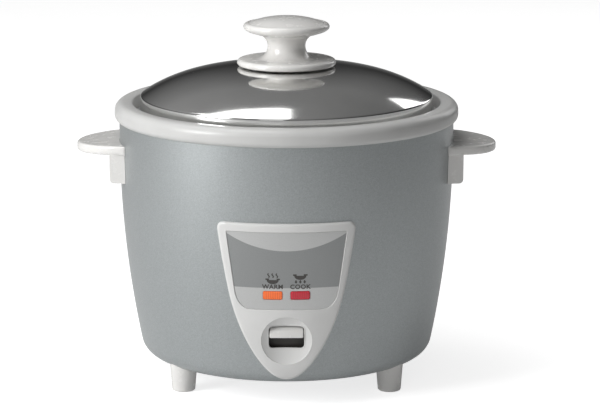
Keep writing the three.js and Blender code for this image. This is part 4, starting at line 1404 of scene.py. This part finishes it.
def screw_mesh(head, head_height, shank, length):
    """A pan-head screw along +Z with a cross recess, the underside of its head at the origin."""
    stations = [
        (0, -head_height, 0),
        (head * 0.75, -head_height, 0.5 * MM),
        (head, -head_height * 0.45, 0.5 * MM),
        (head, 0, 0.1 * MM),
        (shank, 0, 0.1 * MM),
        (shank, length - shank, 0),
        (0, length, 0),
    ]
    bm = turned(stations, steps=sizes().small_steps, closed=False)
    slot = head * 0.13
    reach = head * 0.62
    for turn in (0, math.pi / 2):
        across = Matrix.Rotation(turn, 3, "Z")
        for normal, at in (((1, 0, 0), slot), ((1, 0, 0), -slot), ((0, 1, 0), reach), ((0, 1, 0), -reach)):
            plane = across @ Vector(normal)
            top = [f for f in bm.faces if f.calc_center_median().z < -head_height * 0.6]
            bmesh.ops.bisect_plane(
                bm, geom=with_parts(top), dist=MERGE_DISTANCE, plane_co=plane * at, plane_no=plane
            )
    recess = []
    for face in bm.faces:
        centre = face.calc_center_median()
        if centre.z < -head_height * 0.6 and face.normal.z < -0.5:
            x, y = abs(centre.x), abs(centre.y)
            if (x < slot and y < reach) or (y < slot and x < reach):
                recess.append(face)
    sunk = bmesh.ops.extrude_face_region(bm, geom=recess, use_keep_orig=False)
    verts = [v for v in sunk["geom"] if isinstance(v, bmesh.types.BMVert)]
    bmesh.ops.delete(bm, geom=recess, context="FACES_KEEP_BOUNDARY")
    bmesh.ops.translate(bm, verts=verts, vec=(0, 0, head_height * 0.55))
    bmesh.ops.recalc_face_normals(bm, faces=bm.faces[:])
    return bm


class COOKER_OT_screws(bpy.types.Operator):
    """Makes the screws that can be seen: under the feet, at the inlet and under the lid"""

    bl_idname = "cooker.screws"
    bl_label = "Screws"

    def execute(self, context):
        for where in CORNERS:
            name = "foot_screw_" + where
            place = Matrix.Translation((middle(name).x, middle(name).y, low(name).z + 2.2 * MM))
            self.screw(name, "cooker", (3.4, 2.2, 1.7, 12), place)
        for side in ("left", "right"):
            name = "inlet_screw_" + side
            spot = Matrix.Translation((middle(name).x, high(name).y - 1.8 * MM, middle(name).z))
            place = spot @ Matrix.Rotation(math.pi / 2, 4, "X")
            self.screw(name, "cooker", (3, 1.8, 1.5, 8), place)
        place = Matrix.Translation((0, 0, low("knob_screw").z + 2.2 * MM))
        self.screw("knob_screw", "lid", (4.2, 2.2, 2, 18), place)
        return {"FINISHED"}

    def screw(self, name, body, measures, place):
        bm = screw_mesh(*(m * MM for m in measures))
        bmesh.ops.transform(bm, matrix=place, verts=bm.verts[:])
        piece("bolt_" + name.replace("_screw", ""), bm, body, "zinc_steel", "zinc_steel", name)


class COOKER_OT_metalwork(bpy.types.Operator):
    """Gives every frame node that is still shown the finish of its own slot"""

    bl_idname = "cooker.metalwork"
    bl_label = "Inner metalwork"

    def execute(self, context):
        slots = {s["node"]: s["material_slot"] for s in frame["record"]["subparts"]}
        for name, node in frame["nodes"].items():
            finish = material(slots[name])
            if not node.data.materials:
                node.data.materials.append(finish)
            for i in range(len(node.data.materials)):
                node.data.materials[i] = finish
        return {"FINISHED"}


# ---------------------------------------------------------------- stage


class COOKER_OT_stage(bpy.types.Operator):
    """Sets the pale floor, the soft lights, the surroundings and the camera"""

    bl_idname = "cooker.stage"
    bl_label = "Stage"

    def execute(self, context):
        bpy.context.scene.view_settings.view_transform = "Standard"
        self.floor()
        self.surroundings()
        self.light("key", (-1.45, -0.85, 0.8), (0, 0, 0.09), (0.7, 1.1), 24)
        self.light("fill", (-0.4, -2.0, 0.9), (0, 0, 0.09), (0.7, 0.7), 2.2)
        self.light("top", (-0.4, 0.0, 1.5), (0, 0, 0.1), (1.2, 0.9), 8)
        self.light("rim", (0.9, 1.2, 0.75), (0, 0, 0.17), (0.5, 0.9), 2.5)
        self.camera()
        return {"FINISHED"}

    def floor(self):
        bm = bmesh.new()
        bmesh.ops.create_grid(bm, x_segments=2, y_segments=2, size=6)
        made = add_object("floor", bm)
        recipe = Recipe("floor_paper")
        grain = recipe.noise(40, detail=3)
        recipe.two_tone(grain, (0.66, 0.66, 0.66, 1), (0.68, 0.68, 0.68, 1))
        recipe.roughness(grain, 0.85, 0.95)
        recipe.shader.inputs["Emission Color"].default_value = (1, 1, 1, 1)
        path = recipe.add("ShaderNodeLightPath")
        glow = recipe.math("MULTIPLY_ADD", path.outputs["Is Camera Ray"], 0.62, 0.12)
        recipe.link(glow, recipe.shader.inputs["Emission Strength"])
        made.data.materials.append(recipe.material)

    def surroundings(self):
        """A bright ceiling over a dark band, brighter to the left, which the camera sees as plain white."""
        world = bpy.context.scene.world or bpy.data.worlds.new("studio")
        bpy.context.scene.world = world
        world.use_nodes = True
        nodes = Nodes(world.node_tree)
        nodes.tree.nodes.clear()
        out = nodes.add("ShaderNodeOutputWorld")
        x, y, z = nodes.parts(nodes.add("ShaderNodeTexCoord").outputs["Generated"])
        ramp = nodes.add("ShaderNodeValToRGB")
        stops = ((0.0, 0.55), (0.12, 0.12), (0.3, 0.45), (0.6, 0.9), (1.0, 1.0))
        for i, (at, value) in enumerate(stops):
            stop = ramp.color_ramp.elements[i] if i < 2 else ramp.color_ramp.elements.new(at)
            stop.position = at
            stop.color = (value, value, value, 1)
        nodes.link(z, ramp.inputs["Fac"])
        sides = nodes.mix(1, ramp.outputs["Color"], nodes.spread(x, 1.0, 0.14, -1, 1), "MULTIPLY")
        shade = nodes.mix(1, sides, nodes.spread(y, 1.0, 0.85, -0.3, 0.6), "MULTIPLY")
        backgrounds = []
        for color, strength in ((shade, 0.45), ((1, 1, 1, 1), 1.0)):
            node = nodes.add("ShaderNodeBackground")
            nodes.feed((node.inputs["Color"], node.inputs["Strength"]), (color, strength))
            backgrounds.append(node.outputs["Background"])
        choose = nodes.add("ShaderNodeMixShader")
        seen = nodes.add("ShaderNodeLightPath").outputs["Is Camera Ray"]
        nodes.feed(choose.inputs, (seen, *backgrounds))
        nodes.link(choose.outputs["Shader"], out.inputs["Surface"])

    def light(self, name, place, target, size, power):
        data = bpy.data.lights.new(name, "AREA")
        data.shape = "RECTANGLE"
        data.size, data.size_y = size
        data.energy = power
        made = bpy.data.objects.new(name, data)
        made.location = place
        made.rotation_euler = (Vector(target) - Vector(place)).to_track_quat("-Z", "Y").to_euler()
        bpy.context.scene.collection.objects.link(made)

    def camera(self):
        data = bpy.data.cameras.new("camera")
        data.lens = 160
        data.sensor_width = 36
        data.shift_x = 0.0225
        data.clip_end = 20
        made = bpy.data.objects.new("camera", data)
        made.location = (0, -1.6, 0.4426)
        made.rotation_euler = (math.radians(90 - 11.94), 0, 0)
        bpy.context.scene.collection.objects.link(made)
        bpy.context.scene.camera = made


# ---------------------------------------------------------------- add-on


PIECE_OPERATORS = (
    COOKER_OT_case,
    COOKER_OT_ring,
    COOKER_OT_heating,
    COOKER_OT_pot,
    COOKER_OT_lid,
    COOKER_OT_knob,
    COOKER_OT_handles,
    COOKER_OT_feet,
    COOKER_OT_panel,
    COOKER_OT_label,
    COOKER_OT_lever,
    COOKER_OT_inlet,
    COOKER_OT_screws,
    COOKER_OT_metalwork,
    COOKER_OT_stage,
)


class COOKER_PT_builder(bpy.types.Panel):
    """Lists the sizes, the colours and a button for each step"""

    bl_idname = "COOKER_PT_builder"
    bl_label = "Rice Cooker"
    bl_space_type = "VIEW_3D"
    bl_region_type = "UI"
    bl_category = "Rice Cooker"

    def draw(self, context):
        for group in (context.scene.cooker_sizes, context.scene.cooker_finish):
            box = self.layout.box()
            for name in group.__annotations__:
                box.prop(group, name)
        for operator in PIECE_OPERATORS:
            self.layout.operator(operator.bl_idname)


CLASSES = (CookerSizes, CookerFinish, *PIECE_OPERATORS, COOKER_PT_builder)


def register():
    for cls in CLASSES:
        bpy.utils.register_class(cls)
    bpy.types.Scene.cooker_sizes = PointerProperty(type=CookerSizes)
    bpy.types.Scene.cooker_finish = PointerProperty(type=CookerFinish)


def unregister():
    del bpy.types.Scene.cooker_finish
    del bpy.types.Scene.cooker_sizes
    for cls in reversed(CLASSES):
        bpy.utils.unregister_class(cls)


def main():
    register()
    for operator in PIECE_OPERATORS:
        name = operator.bl_idname.split(".")[1]
        getattr(bpy.ops.cooker, name)()


if __name__ == "__main__":
    main()
